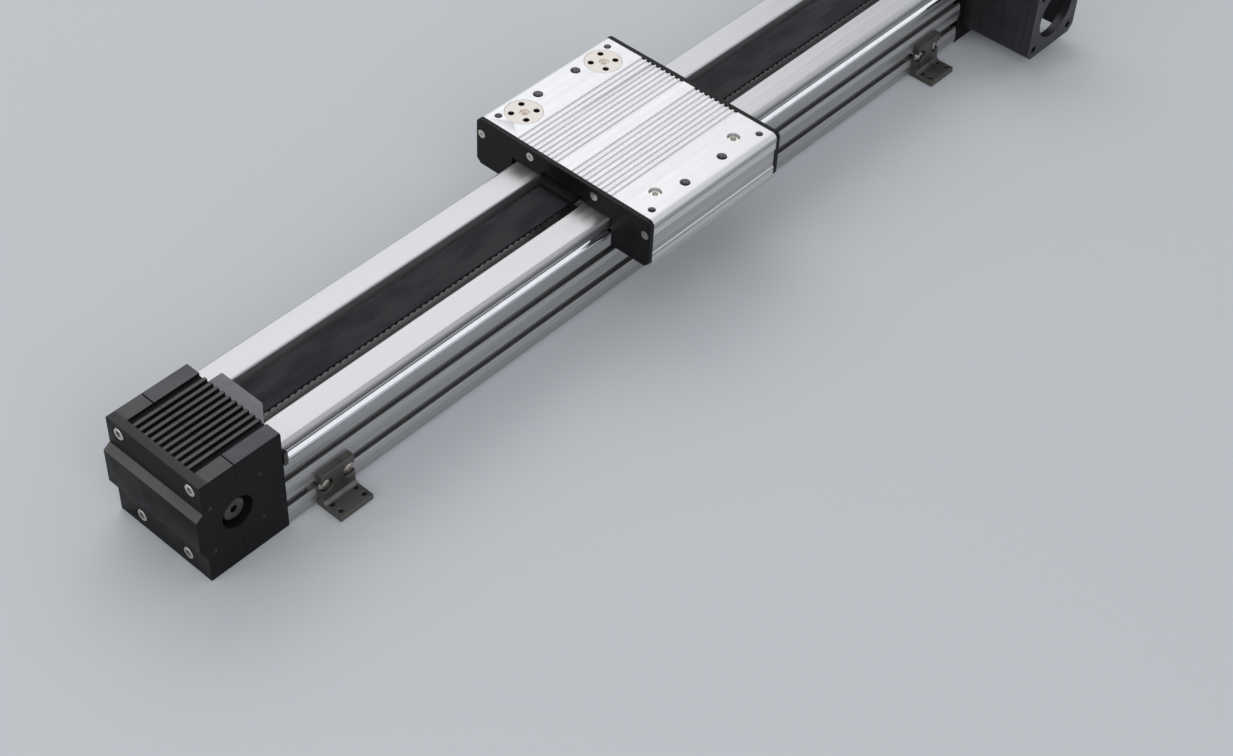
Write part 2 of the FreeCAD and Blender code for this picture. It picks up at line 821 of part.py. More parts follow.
def bearing_rings(end):
    outer = Piece(end + "_outer_ring")
    shield = "bearing_inner / 2 + inner_ring_wall + shield_gap"
    bore = "bearing_outer / 2 - outer_ring_wall"
    outer.turn([("bearing_outer / 2", "0"), ("bearing_outer / 2", "bearing_width"), (shield, "bearing_width"),
                (shield, "bearing_width - shield_thickness"), (bore, "bearing_width - shield_thickness"),
                (bore, "shield_thickness"), (shield, "shield_thickness"), (shield, "0")])
    inner = Piece(end + "_inner_ring")
    inner.turn(box_outline("bearing_inner / 2 + seat_clearance", "0", "bearing_inner / 2 + inner_ring_wall",
                           "bearing_width"))
    x = "-shaft_x" if end == "idler" else "shaft_x"
    places = [(x, y, "shaft_height") + across_y for y in ("bearing_start", "-bearing_end")]
    group(end + "_bearing_outer_rings", outer.done(), places)
    group(end + "_bearing_inner_rings", inner.done(), places)


def pulley(end):
    piece = Piece(end + "_pulley")
    rim = "tip_radius + flange_rise"
    face = "pulley_face / 2"
    side = "pulley_face / 2 + flange_thickness"
    bore = "pulley_bore / 2 + seat_clearance"
    piece.turn([(bore, minus(side)), (rim, minus(side)), (rim, minus(face) + " - 0.6"), ("tip_radius", minus(face)),
                ("tip_radius", face), (rim, face + " + 0.6"), (rim, side), (bore, side)])
    base = "belt_tooth_base / 2 + belt_fit"
    tip = "belt_tooth_tip / 2 + belt_fit"
    gap = [(minus(tip), "-root_radius"), (tip, "-root_radius"), (base, "-tip_radius"), (base, "-tip_radius - 0.3"),
           (minus(base), "-tip_radius - 0.3"), (minus(base), "-tip_radius")]
    piece.ring(piece.pocket("XY_Plane", [gap], minus(face), face), "pulley_teeth")
    place = shaft_place(end)
    body = piece.done(x=place["x"], y=place["y"], z=place["z"], turned=place["turned"])
    return keep(body)


def shaft_steps(low_end, high_end):
    # Outline of a shaft from its low end up: stub, bearing seat, pulley seat, bearing seat, stub
    stub = "stub_diameter / 2"
    seat = "bearing_inner / 2"
    wide = "pulley_bore / 2"
    return [
        ("0", low_end),
        (stub + " - shaft_chamfer", low_end),
        (stub, "%s + shaft_chamfer" % low_end),
        (stub, "-bearing_end"),
        (seat, "-bearing_end"),
        (seat, "-bearing_start"),
        (wide, "-bearing_start"),
        (wide, "bearing_start"),
        (seat, "bearing_start"),
        (seat, "bearing_end"),
        (stub, "bearing_end"),
        (stub, "%s - shaft_chamfer" % high_end),
        (stub + " - shaft_chamfer", high_end),
        ("0", high_end),
    ]


def shaft(end):
    piece = Piece(end + "_shaft")
    low = "-(half_width - stub_recess)" if end == "idler" else "-(half_width + journal_length)"
    high = "half_width - stub_recess"
    piece.turn(shaft_steps(low, high))
    piece.pocket("XY_Plane", [("0", "0", "centre_hole_diameter / 2")], "%s - centre_hole_depth" % high, high)
    piece.pocket("XY_Plane", [("0", "0", "centre_hole_diameter / 2")], low, "%s + centre_hole_depth" % low)
    place = shaft_place(end)
    return keep(piece.done(x=place["x"], y=place["y"], z=place["z"], turned=place["turned"]))


def coupling_hub():
    # Clamping half of a claw coupling on the driven shaft's journal
    piece = Piece("coupling_hub")
    outer = "coupling_diameter / 2"
    bore = "stub_diameter / 2 + seat_clearance"
    high = "-half_width - coupling_start"
    low = "%s - coupling_length" % high
    piece.turn([(bore, low), (outer + " - 0.8", low), (outer, low + " + 0.8"), (outer, high + " - 0.8"),
                (outer + " - 0.8", high), (bore, high)])
    claw = piece.pocket("XY_Plane", [box_outline(bore + " - 1", "-coupling_diameter / 8", outer + " + 1",
                                                 "coupling_diameter / 8")], low, low + " + claw_length")
    slot = box_outline(bore + " - 1", "-coupling_slot / 2", outer + " + 1", "coupling_slot / 2")
    piece.pocket("XY_Plane", [slot], low + " + claw_length", high)
    bore_z = "(%s + claw_length + %s) / 2" % (low, high)
    screw_x = "coupling_diameter / 2 - hub_screw_diameter"
    piece.pocket("XZ_Plane", [(screw_x, bore_z, "hub_screw_diameter / 2 + screw_clearance")],
                 "-coupling_diameter", "coupling_diameter")
    piece.pocket("XZ_Plane", [(screw_x, bore_z, "hub_screw_head / 2 + screw_clearance")],
                 "-coupling_diameter", "-hub_screw_seat")
    piece.ring(claw, "3")
    place = shaft_place("drive")
    keep(piece.done(x=place["x"], y=place["y"], z=place["z"], turned=place["turned"]))
    screw = socket_screw("coupling_clamp_screw", "hub_screw_diameter", "2 * hub_screw_seat - 1",
                         "hub_screw_head", "3", "3", "1.5")
    y = "-half_width - coupling_start - (coupling_length - claw_length) / 2"
    group("coupling_screw", screw, [("shaft_x + %s" % screw_x, y, "shaft_height + hub_screw_seat", (0, 0, 1), 0)])


def drive_belt():
    # The closed toothed loop: a smooth outer track and an inner one with a tooth at each pitch
    run = 2 * value("shaft_x")
    height = value("shaft_height")
    inner = value("belt_inner_radius")
    outer = value("belt_outer_radius")
    depth = value("belt_tooth_height")
    pitch_line = value("pitch_radius")
    total = value("belt_length")
    arc = math.pi * pitch_line
    half_width = value("belt_width") / 2

    def point(along, radius):
        # A point beside the pitch line, along the loop from above the idler's shaft
        along = along % total
        if along < run:
            return FreeCAD.Vector(-run / 2 + along, -half_width, height + radius)
        if along < run + arc:
            angle = (along - run) / pitch_line
            return FreeCAD.Vector(run / 2 + radius * math.sin(angle), -half_width, height + radius * math.cos(angle))
        if along < 2 * run + arc:
            return FreeCAD.Vector(run / 2 - (along - run - arc), -half_width, height - radius)
        angle = (along - 2 * run - arc) / pitch_line
        return FreeCAD.Vector(-run / 2 - radius * math.sin(angle), -half_width, height - radius * math.cos(angle))

    count = int(value("belt_teeth"))
    spacing = value("tooth_spacing")
    base = value("belt_tooth_base") / 2
    tip = value("belt_tooth_tip") / 2
    corners = []
    for k in range(count):
        middle = k * spacing
        corners += [point(middle - base, inner), point(middle - tip, inner - depth),
                    point(middle + tip, inner - depth), point(middle + base, inner)]
    inside = Part.makePolygon(corners + corners[:1])
    top_left = FreeCAD.Vector(-run / 2, -half_width, height + outer)
    top_right = FreeCAD.Vector(run / 2, -half_width, height + outer)
    low_right = FreeCAD.Vector(run / 2, -half_width, height - outer)
    low_left = FreeCAD.Vector(-run / 2, -half_width, height - outer)
    far_right = FreeCAD.Vector(run / 2 + outer, -half_width, height)
    far_left = FreeCAD.Vector(-run / 2 - outer, -half_width, height)
    outside = Part.Wire([
        Part.LineSegment(top_left, top_right).toShape(),
        Part.Arc(top_right, far_right, low_right).toShape(),
        Part.LineSegment(low_right, low_left).toShape(),
        Part.Arc(low_left, far_left, top_left).toShape(),
    ])
    face = Part.Face(outside).cut(Part.Face(inside)).Faces[0]
    belt = doc.addObject("Part::Feature", "drive_belt")
    belt.Shape = face.extrude(FreeCAD.Vector(0, 2 * half_width, 0))
    return keep(belt)


# Motor lantern on the driven housing's near side

def lantern_outline():
    half = "lantern_size / 2"
    inner = "%s - lantern_corner" % half
    corners = [(half, inner), (inner, half)]
    outline = corners + [(minus(a), b) for a, b in reversed(corners)]
    outline += [(minus(a), minus(b)) for a, b in corners]
    outline += [(a, minus(b)) for a, b in reversed(corners)]
    return outline


def motor_lantern():
    # The base on the housing and two webs, open above and below
    piece = Piece("motor_lantern")
    piece.pad("XZ_Plane", [lantern_outline()], "-lantern_front + motor_plate", "-half_width")
    inner = "lantern_size / 2 - lantern_web"
    window = box_outline(minus(inner), "-lantern_size", inner, "lantern_size")
    piece.pocket("XZ_Plane", [window], "-lantern_front + motor_plate", "-half_width - lantern_base")
    piece.pocket("XZ_Plane", [("0", "0", "base_bore / 2")], "-half_width - lantern_base", "-half_width")
    spots = ((1, 1), (1, -1), (-1, 1), (-1, -1))
    holes = [("%d * side_hole_spacing / 2" % a, "%d * side_hole_spacing / 2" % b, "screw_hole")
             for a, b in spots]
    piece.pocket("XZ_Plane", holes, "-half_width - lantern_base", "-half_width")
    return keep(piece.done(x="shaft_x", z="shaft_height"))


def motor_flange():
    # The plate across the webs' ends, where the motor is screwed on
    piece = Piece("motor_flange")
    piece.pad("XZ_Plane", [lantern_outline()], "-lantern_front", "-lantern_front + motor_plate")
    piece.pocket("XZ_Plane", [("0", "0", "motor_bore / 2")], "-lantern_front", "-lantern_front + motor_plate")
    pattern = "motor_pcd / 2 / sqrt(2)"
    spots = ((1, 1), (1, -1), (-1, 1), (-1, -1))
    holes = [("%d * %s" % (a, pattern), "%d * %s" % (b, pattern), "motor_hole_diameter / 2") for a, b in spots]
    piece.pocket("XZ_Plane", holes, "-lantern_front", "-lantern_front + motor_plate")
    return keep(piece.done(x="shaft_x", z="shaft_height"))


def lantern_screws():
    screw = socket_screw("lantern_screw", "(side_hole_diameter - 0.2)", "lantern_screw_length",
                         "screw_head_diameter", "screw_head_height", "screw_socket", "socket_depth")
    places = []
    for a in (1, -1):
        for b in (1, -1):
            places.append(("shaft_x + %d * side_hole_spacing / 2" % a, "-half_width - lantern_base",
                           "shaft_height + %d * side_hole_spacing / 2" % b, (1, 0, 0), 90))
    return group("lantern_screws", screw, places)


# Foot brackets in the lower T-slots

bracket_spots = {
    "idler_near": ("bracket_idler_x", -1),
    "idler_far": ("bracket_idler_x", 1),
    "drive_near": ("bracket_drive_x", -1),
    "drive_far": ("bracket_drive_x", 1),
}


def bracket(name, x, side):
    # Drawn on the near side, and turned half a turn for the far side
    piece = Piece("bracket_" + name)
    face = "-half_width"
    half = "bracket_width / 2"
    toe = "-half_width - bracket_reach"
    leg = "-half_width - leg_thickness"
    outline = [(face, "0"), (face, "bracket_height"), (leg, "bracket_height"), (leg, "foot_thickness"),
               (toe, "foot_thickness"), (toe, "0")]
    piece.pad("YZ_Plane", [outline], minus(half), half)
    piece.soften("Fillet", "bracket_fillet", along_x("half_width + leg_thickness", "foot_thickness"))
    spots = []
    for a in (1, -1):
        spots.append(("%d * foot_hole_spacing_x / 2" % a, "%s + foot_hole_edge" % toe, "foot_hole_diameter / 2"))
        spots.append(("%d * foot_hole_spacing_x / 2" % a, "%s + foot_hole_edge + foot_hole_spacing_y" % toe,
                      "foot_hole_diameter / 2"))
    piece.pocket("XY_Plane", spots, "0", "foot_thickness")
    screws = [("%d * bracket_screw_spacing / 2" % a, "slot_low_height", "screw_hole") for a in (1, -1)]
    piece.pocket("XZ_Plane", screws, leg, face)
    heads = [(a, b, "button_diameter / 2 + screw_clearance") for a, b, radius in screws]
    piece.pocket("XZ_Plane", heads, leg, "%s + counterbore_depth" % leg)
    return keep(piece.done(x=x, turned=((0, 0, 1), 0 if side < 0 else 180)))


def button_screw():
    piece = Piece("bracket_screw")
    head = "button_diameter / 2"
    shank = "side_hole_diameter / 2"
    piece.turn([("0", "-bracket_screw_length"), (shank, "-bracket_screw_length"), (shank, "0"), (head, "0"),
                (head, "button_height * 0.3"), (head + " * 0.87", "button_height * 0.62"),
                (head + " * 0.62", "button_height * 0.88"), (head + " * 0.35", "button_height"),
                ("0", "button_height")])
    cut_hex(piece, "3", "button_height", "1.4")
    return piece.done()


def slot_nut():
    # A nut block in the T-slot's hollow, bevelled like the hollow, its threaded hole along its own Z axis
    piece = Piece("slot_nut")
    side = "nut_width / 2"
    half = [(side, "0"), (side, "nut_bevel - nut_height"), (side + " - nut_bevel", "-nut_height")]
    piece.pad("YZ_Plane", [mirrored_outline(half)], "-nut_length / 2", "nut_length / 2")
    piece.pocket("XY_Plane", [("0", "0", "side_hole_diameter / 2 + 0.05")], "-nut_height", "0")
    return piece.done()


def bracket_fixings():
    seat = "half_width + leg_thickness - counterbore_depth"
    nut = "slot_lip_back"
    screws = []
    nuts = []
    for x, side in bracket_spots.values():
        turn = ((1, 0, 0), 90 if side < 0 else -90)
        for a in (1, -1):
            spot = "%s + %d * bracket_screw_spacing / 2" % (x, a)
            screws.append((spot, "%d * (%s)" % (side, seat), "slot_low_height") + turn)
            nuts.append((spot, "%d * (%s)" % (side, nut), "slot_low_height") + turn)
    group("bracket_screws", button_screw(), screws)
    group("slot_nuts", slot_nut(), nuts)


# Carriage, drawn about its own middle and placed at its rest position

def carriage_body():
    piece = Piece("carriage_body")
    right = [
        ("0", "carriage_under"),
        ("skirt_inner - corner_land + skirt_thickness", "carriage_under"),
        ("skirt_inner", "carriage_under - corner_drop"),
        ("skirt_inner", "skirt_bottom"),
        ("half_span", "skirt_bottom"),
    ]
    right += side_lines("skirt_bottom + 3 * side_line_pitch", "side_recess_low - 2 * side_line_pitch", 2)
    right += [
        ("half_span", "side_recess_low"),
        ("half_span - side_recess_depth", "side_recess_low + side_recess_depth"),
        ("half_span - side_recess_depth", "side_recess_high - side_recess_depth"),
        ("half_span", "side_recess_high"),
    ]
    right += side_lines("side_recess_high + side_line_pitch", "", 3)
    right += [("half_span", "carriage_top"), ("0", "carriage_top")]
    piece.pad("YZ_Plane", [mirrored_outline(right)], "-half_carriage", "half_carriage")
    piece.soften("Fillet", "carriage_edge_round", along_x("half_span", "carriage_top"))
    corner = [(a, b, "corner_hole_diameter / 2") for a, b in four("corner_hole_x", "corner_hole_y")]
    middle = [(a, b, "middle_hole_diameter / 2") for a, b in four("middle_hole_x", "middle_hole_y")]
    near = [(a, "-roller_y", "axle_top_diameter / 2 + seat_clearance") for a in ("roller_x", "-roller_x")]
    far = [(a, "disc_y", "lower_bore / 2") for a in ("roller_x", "-roller_x")]
    piece.pocket("XY_Plane", corner + middle + near + far, "carriage_under", "carriage_top")
    discs = [(a, "disc_y", "disc_diameter / 2 + disc_clearance") for a in ("roller_x", "-roller_x")]
    piece.pocket("XY_Plane", discs, "disc_seat", "carriage_top")
    screws = plate_screw_circles("plate_screw_diameter / 2 - 0.2")
    depth = "plate_screw_length"
    piece.pocket("YZ_Plane", screws, "-half_carriage", "-half_carriage + %s" % depth)
    piece.pocket("YZ_Plane", screws, "half_carriage - %s" % depth, "half_carriage")
    tapped = [(a, b, "clamp_screw_size / 2 - 0.2") for a, b in clamp_screw_spots(1) + clamp_screw_spots(-1)]
    piece.pocket("XY_Plane", tapped, "carriage_under", "carriage_under + 8")
    bands = []
    for side in (1, -1):
        groove = box_outline("%d * groove_start - groove_width / 2" % side, "carriage_top - groove_depth",
                             "%d * groove_start + groove_width / 2" % side, "carriage_top + 1")
        bands.append(piece.pocket("YZ_Plane", [groove], "-half_carriage", "half_carriage"))
    reach = "groove_pitch * (groove_count - 1)"
    piece.row(bands[0], "H_Axis", reach, "groove_count")
    left = piece.row(bands[1], "H_Axis", reach, "groove_count")
    left.Reversed = True
    return keep(piece.done(x="carriage_rest"))


def side_lines(first, second, count):
    # Small V lines in the skirt's outer face, from low to high
    points = []
    for k in range(count):
        middle = "%s + %d * side_line_pitch" % (first, k)
        points.append(("half_span", "%s - side_line_width / 2" % middle))
        points.append(("half_span - side_line_depth", middle))
        points.append(("half_span", "%s + side_line_width / 2" % middle))
    return points


def four(a, b):
    return [("%d * %s" % (i, a), "%d * %s" % (j, b)) for i in (1, -1) for j in (1, -1)]


def plate_screw_spots():
    outer = [("%d * plate_screw_outer_y" % side, "plate_screw_outer_z") for side in (1, -1)]
    inner = [("%d * plate_screw_inner_y" % side, "plate_screw_inner_z") for side in (1, -1)]
    return outer + inner


def plate_screw_circles(radius):
    return [(a, b, radius) for a, b in plate_screw_spots()]


def end_plate(name, side):
    piece = Piece(name)
    notch = "nose_width / 2 + 2 * notch_clearance"
    right = [
        ("0", "carriage_under + notch_clearance"),
        (notch, "carriage_under + notch_clearance"),
        (notch, "plate_bar_bottom"),
        ("plate_leg_inner", "plate_bar_bottom"),
        ("plate_leg_inner", "skirt_bottom"),
        ("half_span - plate_chamfer", "skirt_bottom"),
        ("half_span", "skirt_bottom + plate_chamfer"),
        ("half_span", "carriage_top"),
        ("0", "carriage_top"),
    ]
    low = "half_carriage" if side > 0 else "-plate_front"
    high = "plate_front" if side > 0 else "-half_carriage"
    piece.pad("YZ_Plane", [mirrored_outline(right)], low, high)
    piece.soften("Fillet", "carriage_edge_round", along_x("half_span", "carriage_top"))
    piece.pocket("YZ_Plane", plate_screw_circles("plate_screw_diameter / 2 + 0.2"), low, high)
    sink = "(plate_screw_head - plate_screw_diameter) / 2"
    heads = plate_screw_circles("plate_screw_head / 2 + 0.1")
    if side > 0:
        piece.pocket("YZ_Plane", heads, "plate_front - %s" % sink, "plate_front")
    else:
        piece.pocket("YZ_Plane", heads, "-plate_front", "-plate_front + %s" % sink)
    return keep(piece.done(x="carriage_rest"))


def end_plate_screws():
    # Countersunk screws, flush with the plates
    piece = Piece("end_plate_screw")
    head = "plate_screw_head / 2"
    shank = "plate_screw_diameter / 2 - 0.25"
    sink = "-(plate_screw_head - plate_screw_diameter) / 2"
    tip = "-plate_screw_length - plate_thickness + 1"
    piece.turn([("0", tip), (shank, tip),
                (shank, sink), (head, sink + " + 0.6"), (head, "0"), ("0", "0")])
    cut_hex(piece, "2", "0", "1.2")
    template = piece.done()
    places = []
    for sign, angle in ((1, 90), (-1, -90)):
        for y, z in plate_screw_spots():
            places.append(("carriage_rest + %d * plate_front" % sign, y, z, (0, 1, 0), angle))
    return group("end_plate_screws", template, places)


def clamp_screw_spots(side):
    middle = "%d * (half_carriage - clamp_length / 2)" % side
    spots = []
    for a in (1, -1):
        for b in (1, -1):
            spots.append(("%s + %d * clamp_screw_spacing / 2" % (middle, a), "%d * clamp_screw_side" % b))
    return spots


def belt_clamp(name, side):
    # Upper clamp plate; its nose passes under the end plate and shows in the belt channel
    piece = Piece(name)
    back = "half_carriage - clamp_length"
    nose = "plate_front + nose_reach"
    outline = [
        (back, "-clamp_width / 2"), ("half_carriage", "-clamp_width / 2"), ("half_carriage", "-nose_width / 2"),
        (nose + " - 1", "-nose_width / 2"), (nose, "-nose_width / 2 + 1"), (nose, "nose_width / 2 - 1"),
        (nose + " - 1", "nose_width / 2"), ("half_carriage", "nose_width / 2"), ("half_carriage", "clamp_width / 2"),
        (back, "clamp_width / 2"),
    ]
    if side < 0:
        outline = [(minus(a), b) for a, b in outline]
    piece.pad("XY_Plane", [outline], "belt_top", "carriage_under")
    holes = [(a, b, "clamp_screw_size / 2 + 0.15") for a, b in clamp_screw_spots(side)]
    piece.pocket("XY_Plane", holes, "belt_top", "carriage_under")
    return keep(piece.done(x="carriage_rest"))


def belt_grip(name, side):
    # Lower clamp plate, with gaps for the belt's teeth in step with the belt at rest
    piece = Piece(name)
    low = "half_carriage - clamp_length" if side > 0 else "-half_carriage"
    high = "half_carriage" if side > 0 else "-half_carriage + clamp_length"
    width = "clamp_width / 2"
    piece.pad("XY_Plane", [box_outline(low, minus(width), high, width)], "grip_bottom", "belt_top")
    belt_way = box_outline(low, "-belt_width / 2 - belt_side_gap", high, "belt_width / 2 + belt_side_gap")
    piece.pocket("XY_Plane", [belt_way], "belt_root - belt_fit", "belt_top")
    holes = [(a, b, "clamp_screw_size / 2 + 0.15") for a, b in clamp_screw_spots(side)]
    piece.pocket("XY_Plane", holes, "grip_bottom", "belt_top")
    first = "ceil((carriage_rest + %s + shaft_x) / tooth_spacing - 0.3)" % low
    first += " * tooth_spacing - shaft_x - carriage_rest"
    base = "(belt_tooth_base / 2 + belt_fit)"
    tip = "(belt_tooth_tip / 2 + belt_fit)"
    floor = "belt_root - belt_tooth_height - belt_fit"
    lip = "belt_root + 0.2"
    gap = [("%s - %s" % (first, base), lip), ("%s - %s" % (first, base), "belt_root - belt_fit"),
           ("%s - %s" % (first, tip), floor), ("%s + %s" % (first, tip), floor),
           ("%s + %s" % (first, base), "belt_root - belt_fit"), ("%s + %s" % (first, base), lip)]
    cut = piece.pocket("XZ_Plane", [gap], "-belt_width / 2 - belt_side_gap", "belt_width / 2 + belt_side_gap")
    piece.row(cut, "H_Axis", "5 * tooth_spacing", "6")
    return keep(piece.done(x="carriage_rest"))


def belt_clamp_screws():
    screw = socket_screw("belt_clamp_screw", "(clamp_screw_size - 0.5)",
                         "carriage_under - grip_bottom + 7", "(clamp_screw_size * 1.8)", "clamp_screw_head",
                         "2", "1.2")
    places = []
    for side in (1, -1):
        for a, b in clamp_screw_spots(side):
            places.append(("carriage_rest + %s" % a, b, "grip_bottom", (1, 0, 0), 180))
    return group("belt_clamp_screws", screw, places)


def rod_wipers(name, side):
    # Felt blocks behind an end plate, hollowed round the guide rods
    block = doc.addObject("Part::Box", name + "_block")
    bind(block, "Length", "wiper_length")
    bind(block, "Width", "wiper_reach - wiper_inner")
    bind(block, "Height", "wiper_high - wiper_low")
    bind(block, "Placement.Base.y", "wiper_inner")
    bind(block, "Placement.Base.z", "wiper_low")
    rod = doc.addObject("Part::Cylinder", name + "_hollow")
    bind(rod, "Radius", "rod_diameter / 2 + roller_gap")
    bind(rod, "Height", "wiper_length + 2")
    bind(rod, "Placement.Base.x", "-1")
    bind(rod, "Placement.Base.y", "rod_side")
    bind(rod, "Placement.Base.z", "rod_height")
    bind(rod, "Placement.Rotation.Axis.y", "1")
    bind(rod, "Placement.Rotation.Axis.z", "0")
    bind(rod, "Placement.Rotation.Angle", "90")
    cut = doc.addObject("Part::Cut", name + "_wiper")
    cut.Base = block
    cut.Tool = rod
    start = "half_carriage - wiper_length" if side > 0 else "-half_carriage"
    places = [("carriage_rest + %s" % start, "0", "0", (0, 0, 1), 0),
              ("carriage_rest + %s + wiper_length" % start, "0", "0", (0, 0, 1), 180)]
    return group(name, cut, places)


# Rollers, axles and eccentric discs; each is turned about its own upright axis

def roller_spots(side):
    y = "-roller_y" if side == "near" else "roller_y"
    return {"front": ("carriage_rest - roller_x", y), "rear": ("carriage_rest + roller_x", y)}


def roller(side, end):
    piece = Piece("roller_%s_%s" % (side, end))
    bore = "axle_radius + roller_bore_clearance"
    rim = "roller_diameter / 2"
    half = "roller_width / 2"
    bevel = "roller_chamfer"
    dish_in = "roller_face_inner / 2"
    dish_out = "roller_face_outer / 2"
    floor = "%s - roller_face_depth" % half
    upper = [(bore, half), (dish_in, half), (dish_in, floor), (dish_out, floor), (dish_out, half),
             ("%s - %s" % (rim, bevel), half), (rim, "%s - %s" % (half, bevel))]
    lower = [(a, minus(b)) for a, b in upper]
    piece.turn(list(reversed(upper)) + lower)
    sketch = piece.draw("XZ_Plane", "0", [("rod_distance", "0", "rod_diameter / 2 + roller_gap")])
    groove = piece.feature("Groove", sketch)
    groove.ReferenceAxis = (sketch, ["V_Axis"])
    groove.Angle = 360
    x, y = roller_spots(side)[end]
    return keep(piece.done(x=x, y=y, z="rod_height"))


def axle_outline(top, top_radius, seat_radius, seat_top):
    # Turned axle from its top down, in heights above the ground
    return [
        ("0", top),
        (top_radius + " - 0.5", top),
        (top_radius, top + " - 0.5"),
        (top_radius, seat_top),
        (seat_radius, seat_top),
        (seat_radius, seat_top + " - axle_collar_thickness"),
        ("spacer_diameter / 2", seat_top + " - axle_collar_thickness"),
        ("spacer_diameter / 2", "roller_top + end_play"),
        ("axle_radius", "roller_top + end_play"),
        ("axle_radius", "roller_bottom - end_play"),
        ("0", "roller_bottom - end_play"),
    ]


def near_roller_axles():
    piece = Piece("near_roller_axle")
    piece.turn(axle_outline("carriage_top - axle_top_recess", "axle_top_diameter / 2", "axle_collar_diameter / 2",
                            "carriage_under"))
    cut_hex(piece, "hex_across", "carriage_top - axle_top_recess", "hex_depth")
    template = piece.done()
    places = [(x, y, "0", (0, 0, 1), 0) for x, y in roller_spots("near").values()]
    return group("near_roller_axles", template, places)


def far_roller_axle(end):
    piece = Piece("far_roller_axle_" + end)
    bore = "disc_bore / 2"
    piece.turn([
        ("0", "carriage_top - disc_top_recess"),
        (bore + " - 0.4", "carriage_top - disc_top_recess"),
        (bore, "carriage_top - disc_top_recess - 0.4"),
        (bore, "disc_seat"),
        ("axle_collar_diameter / 2", "disc_seat"),
        ("axle_collar_diameter / 2", "carriage_under"),
        ("eccentric_collar / 2", "carriage_under"),
        ("eccentric_collar / 2", "carriage_under - axle_collar_thickness"),
        ("spacer_diameter / 2", "carriage_under - axle_collar_thickness"),
        ("spacer_diameter / 2", "roller_top + end_play"),
        ("axle_radius", "roller_top + end_play"),
        ("axle_radius", "roller_bottom - end_play"),
        ("0", "roller_bottom - end_play"),
    ])
    cut_hex(piece, "hex_across", "carriage_top - disc_top_recess", "hex_depth")
    x, y = roller_spots("far")[end]
    return keep(piece.done(x=x, y=y))


def far_eccentric(end):
    # Round disc whose bore for the axle lies off its centre
    piece = Piece("far_eccentric_" + end)
    bore = "disc_bore / 2 + seat_clearance"
    piece.pad("XY_Plane", [("0", "0", "disc_diameter / 2")], "disc_seat", "carriage_top")
    piece.soften("Chamfer", "0.3", lambda edge: abs(edge.BoundBox.Center.z - value("carriage_top")) < 0.01)
    piece.pocket("XY_Plane", [("0", "-eccentricity", bore)], "disc_seat", "carriage_top")
    spot = ("disc_hole_radius * cos(disc_hole_angle)", "disc_hole_radius * sin(disc_hole_angle)",
            "disc_hole_diameter / 2")
    hole = piece.pocket("XY_Plane", [spot], "carriage_top - disc_hole_depth", "carriage_top")
    piece.ring(hole, "4")
    x = roller_spots("far")[end][0]
    return keep(piece.done(x=x, y="disc_y"))


def retainer_template(name):
    # Washer and screw head that hold a roller on its axle
    piece = Piece(name)
    top = "roller_bottom - end_play"
    radius = "retainer_diameter / 2"
    piece.turn([("0", top), (radius, top), (radius, top + " - retainer_thickness + 0.5"),
                (radius + " - 0.5", top + " - retainer_thickness"), ("0", top + " - retainer_thickness")])
    return piece.done()


def retainers():
    near = retainer_template("near_roller_retainer")
    places = [(x, y, "0", (0, 0, 1), 0) for x, y in roller_spots("near").values()]
    group("near_roller_retainers", near, places)
    for end, (x, y) in roller_spots("far").items():
        template = retainer_template("far_retainer_" + end)
        group("far_roller_retainer_" + end, template, [(x, y, "0", (0, 0, 1), 0)])


def build():
    fill_sheet()
    profile_extrusion()
    guide_rod("guide_rod_near", -1)
    guide_rod("guide_rod_far", 1)
    rod_end_stops()
    for end in ("idler", "drive"):
        housing_front(end)
        housing_rear(end)
        slot_cover(end)
        housing_screws(end)
        bearing_rings(end)
        pulley(end)
        shaft(end)
    coupling_hub()
    drive_belt()
    motor_lantern()
    motor_flange()
    lantern_screws()
    for name, (x, side) in bracket_spots.items():
        bracket(name, x, side)
    bracket_fixings()
    carriage_body()
    for name, side in (("front", -1), ("rear", 1)):
        end_plate(name + "_end_plate", side)
        belt_clamp(name + "_belt_clamp", side)
        belt_grip(name + "_belt_grip", side)
        rod_wipers(name + "_rod_wipers", side)
    end_plate_screws()
    belt_clamp_screws()
    for side in ("near", "far"):
        for end in ("front", "rear"):
            roller(side, end)
    near_roller_axles()
    for end in ("front", "rear"):
        far_eccentric(end)
        far_roller_axle(end)
    retainers()


def check_and_write():
    doc.recompute()
    for thing in doc.Objects:
        bad = [state for state in thing.State if state in ("Invalid", "Error")]
        if bad:
            raise RuntimeError("%s is %s" % (thing.Label, bad))
        base = getattr(thing, "BaseFeature", None)
        if thing.TypeId in ("PartDesign::Pocket", "PartDesign::Groove") and base is not None:
            if thing.Shape.Volume > base.Shape.Volume - 1e-6:
                raise RuntimeError("%s cuts nothing" % thing.Label)
    os.makedirs("parts", exist_ok=True)
    for name, thing in nodes.items():
        shape = thing.Shape
        if shape.isNull() or not shape.isValid() or not shape.Solids:
            raise RuntimeError("%s has no valid solid" % name)
        shape.exportStep(os.path.join("parts", name + ".step"))
        print("%-30s %2d solids %10.1f mm3" % (name, len(shape.Solids), shape.Volume))
    print(len(nodes), "nodes")


build()
check_and_write()
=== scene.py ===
import json
import math

import bmesh
import bpy
from mathutils import Matrix, Vector


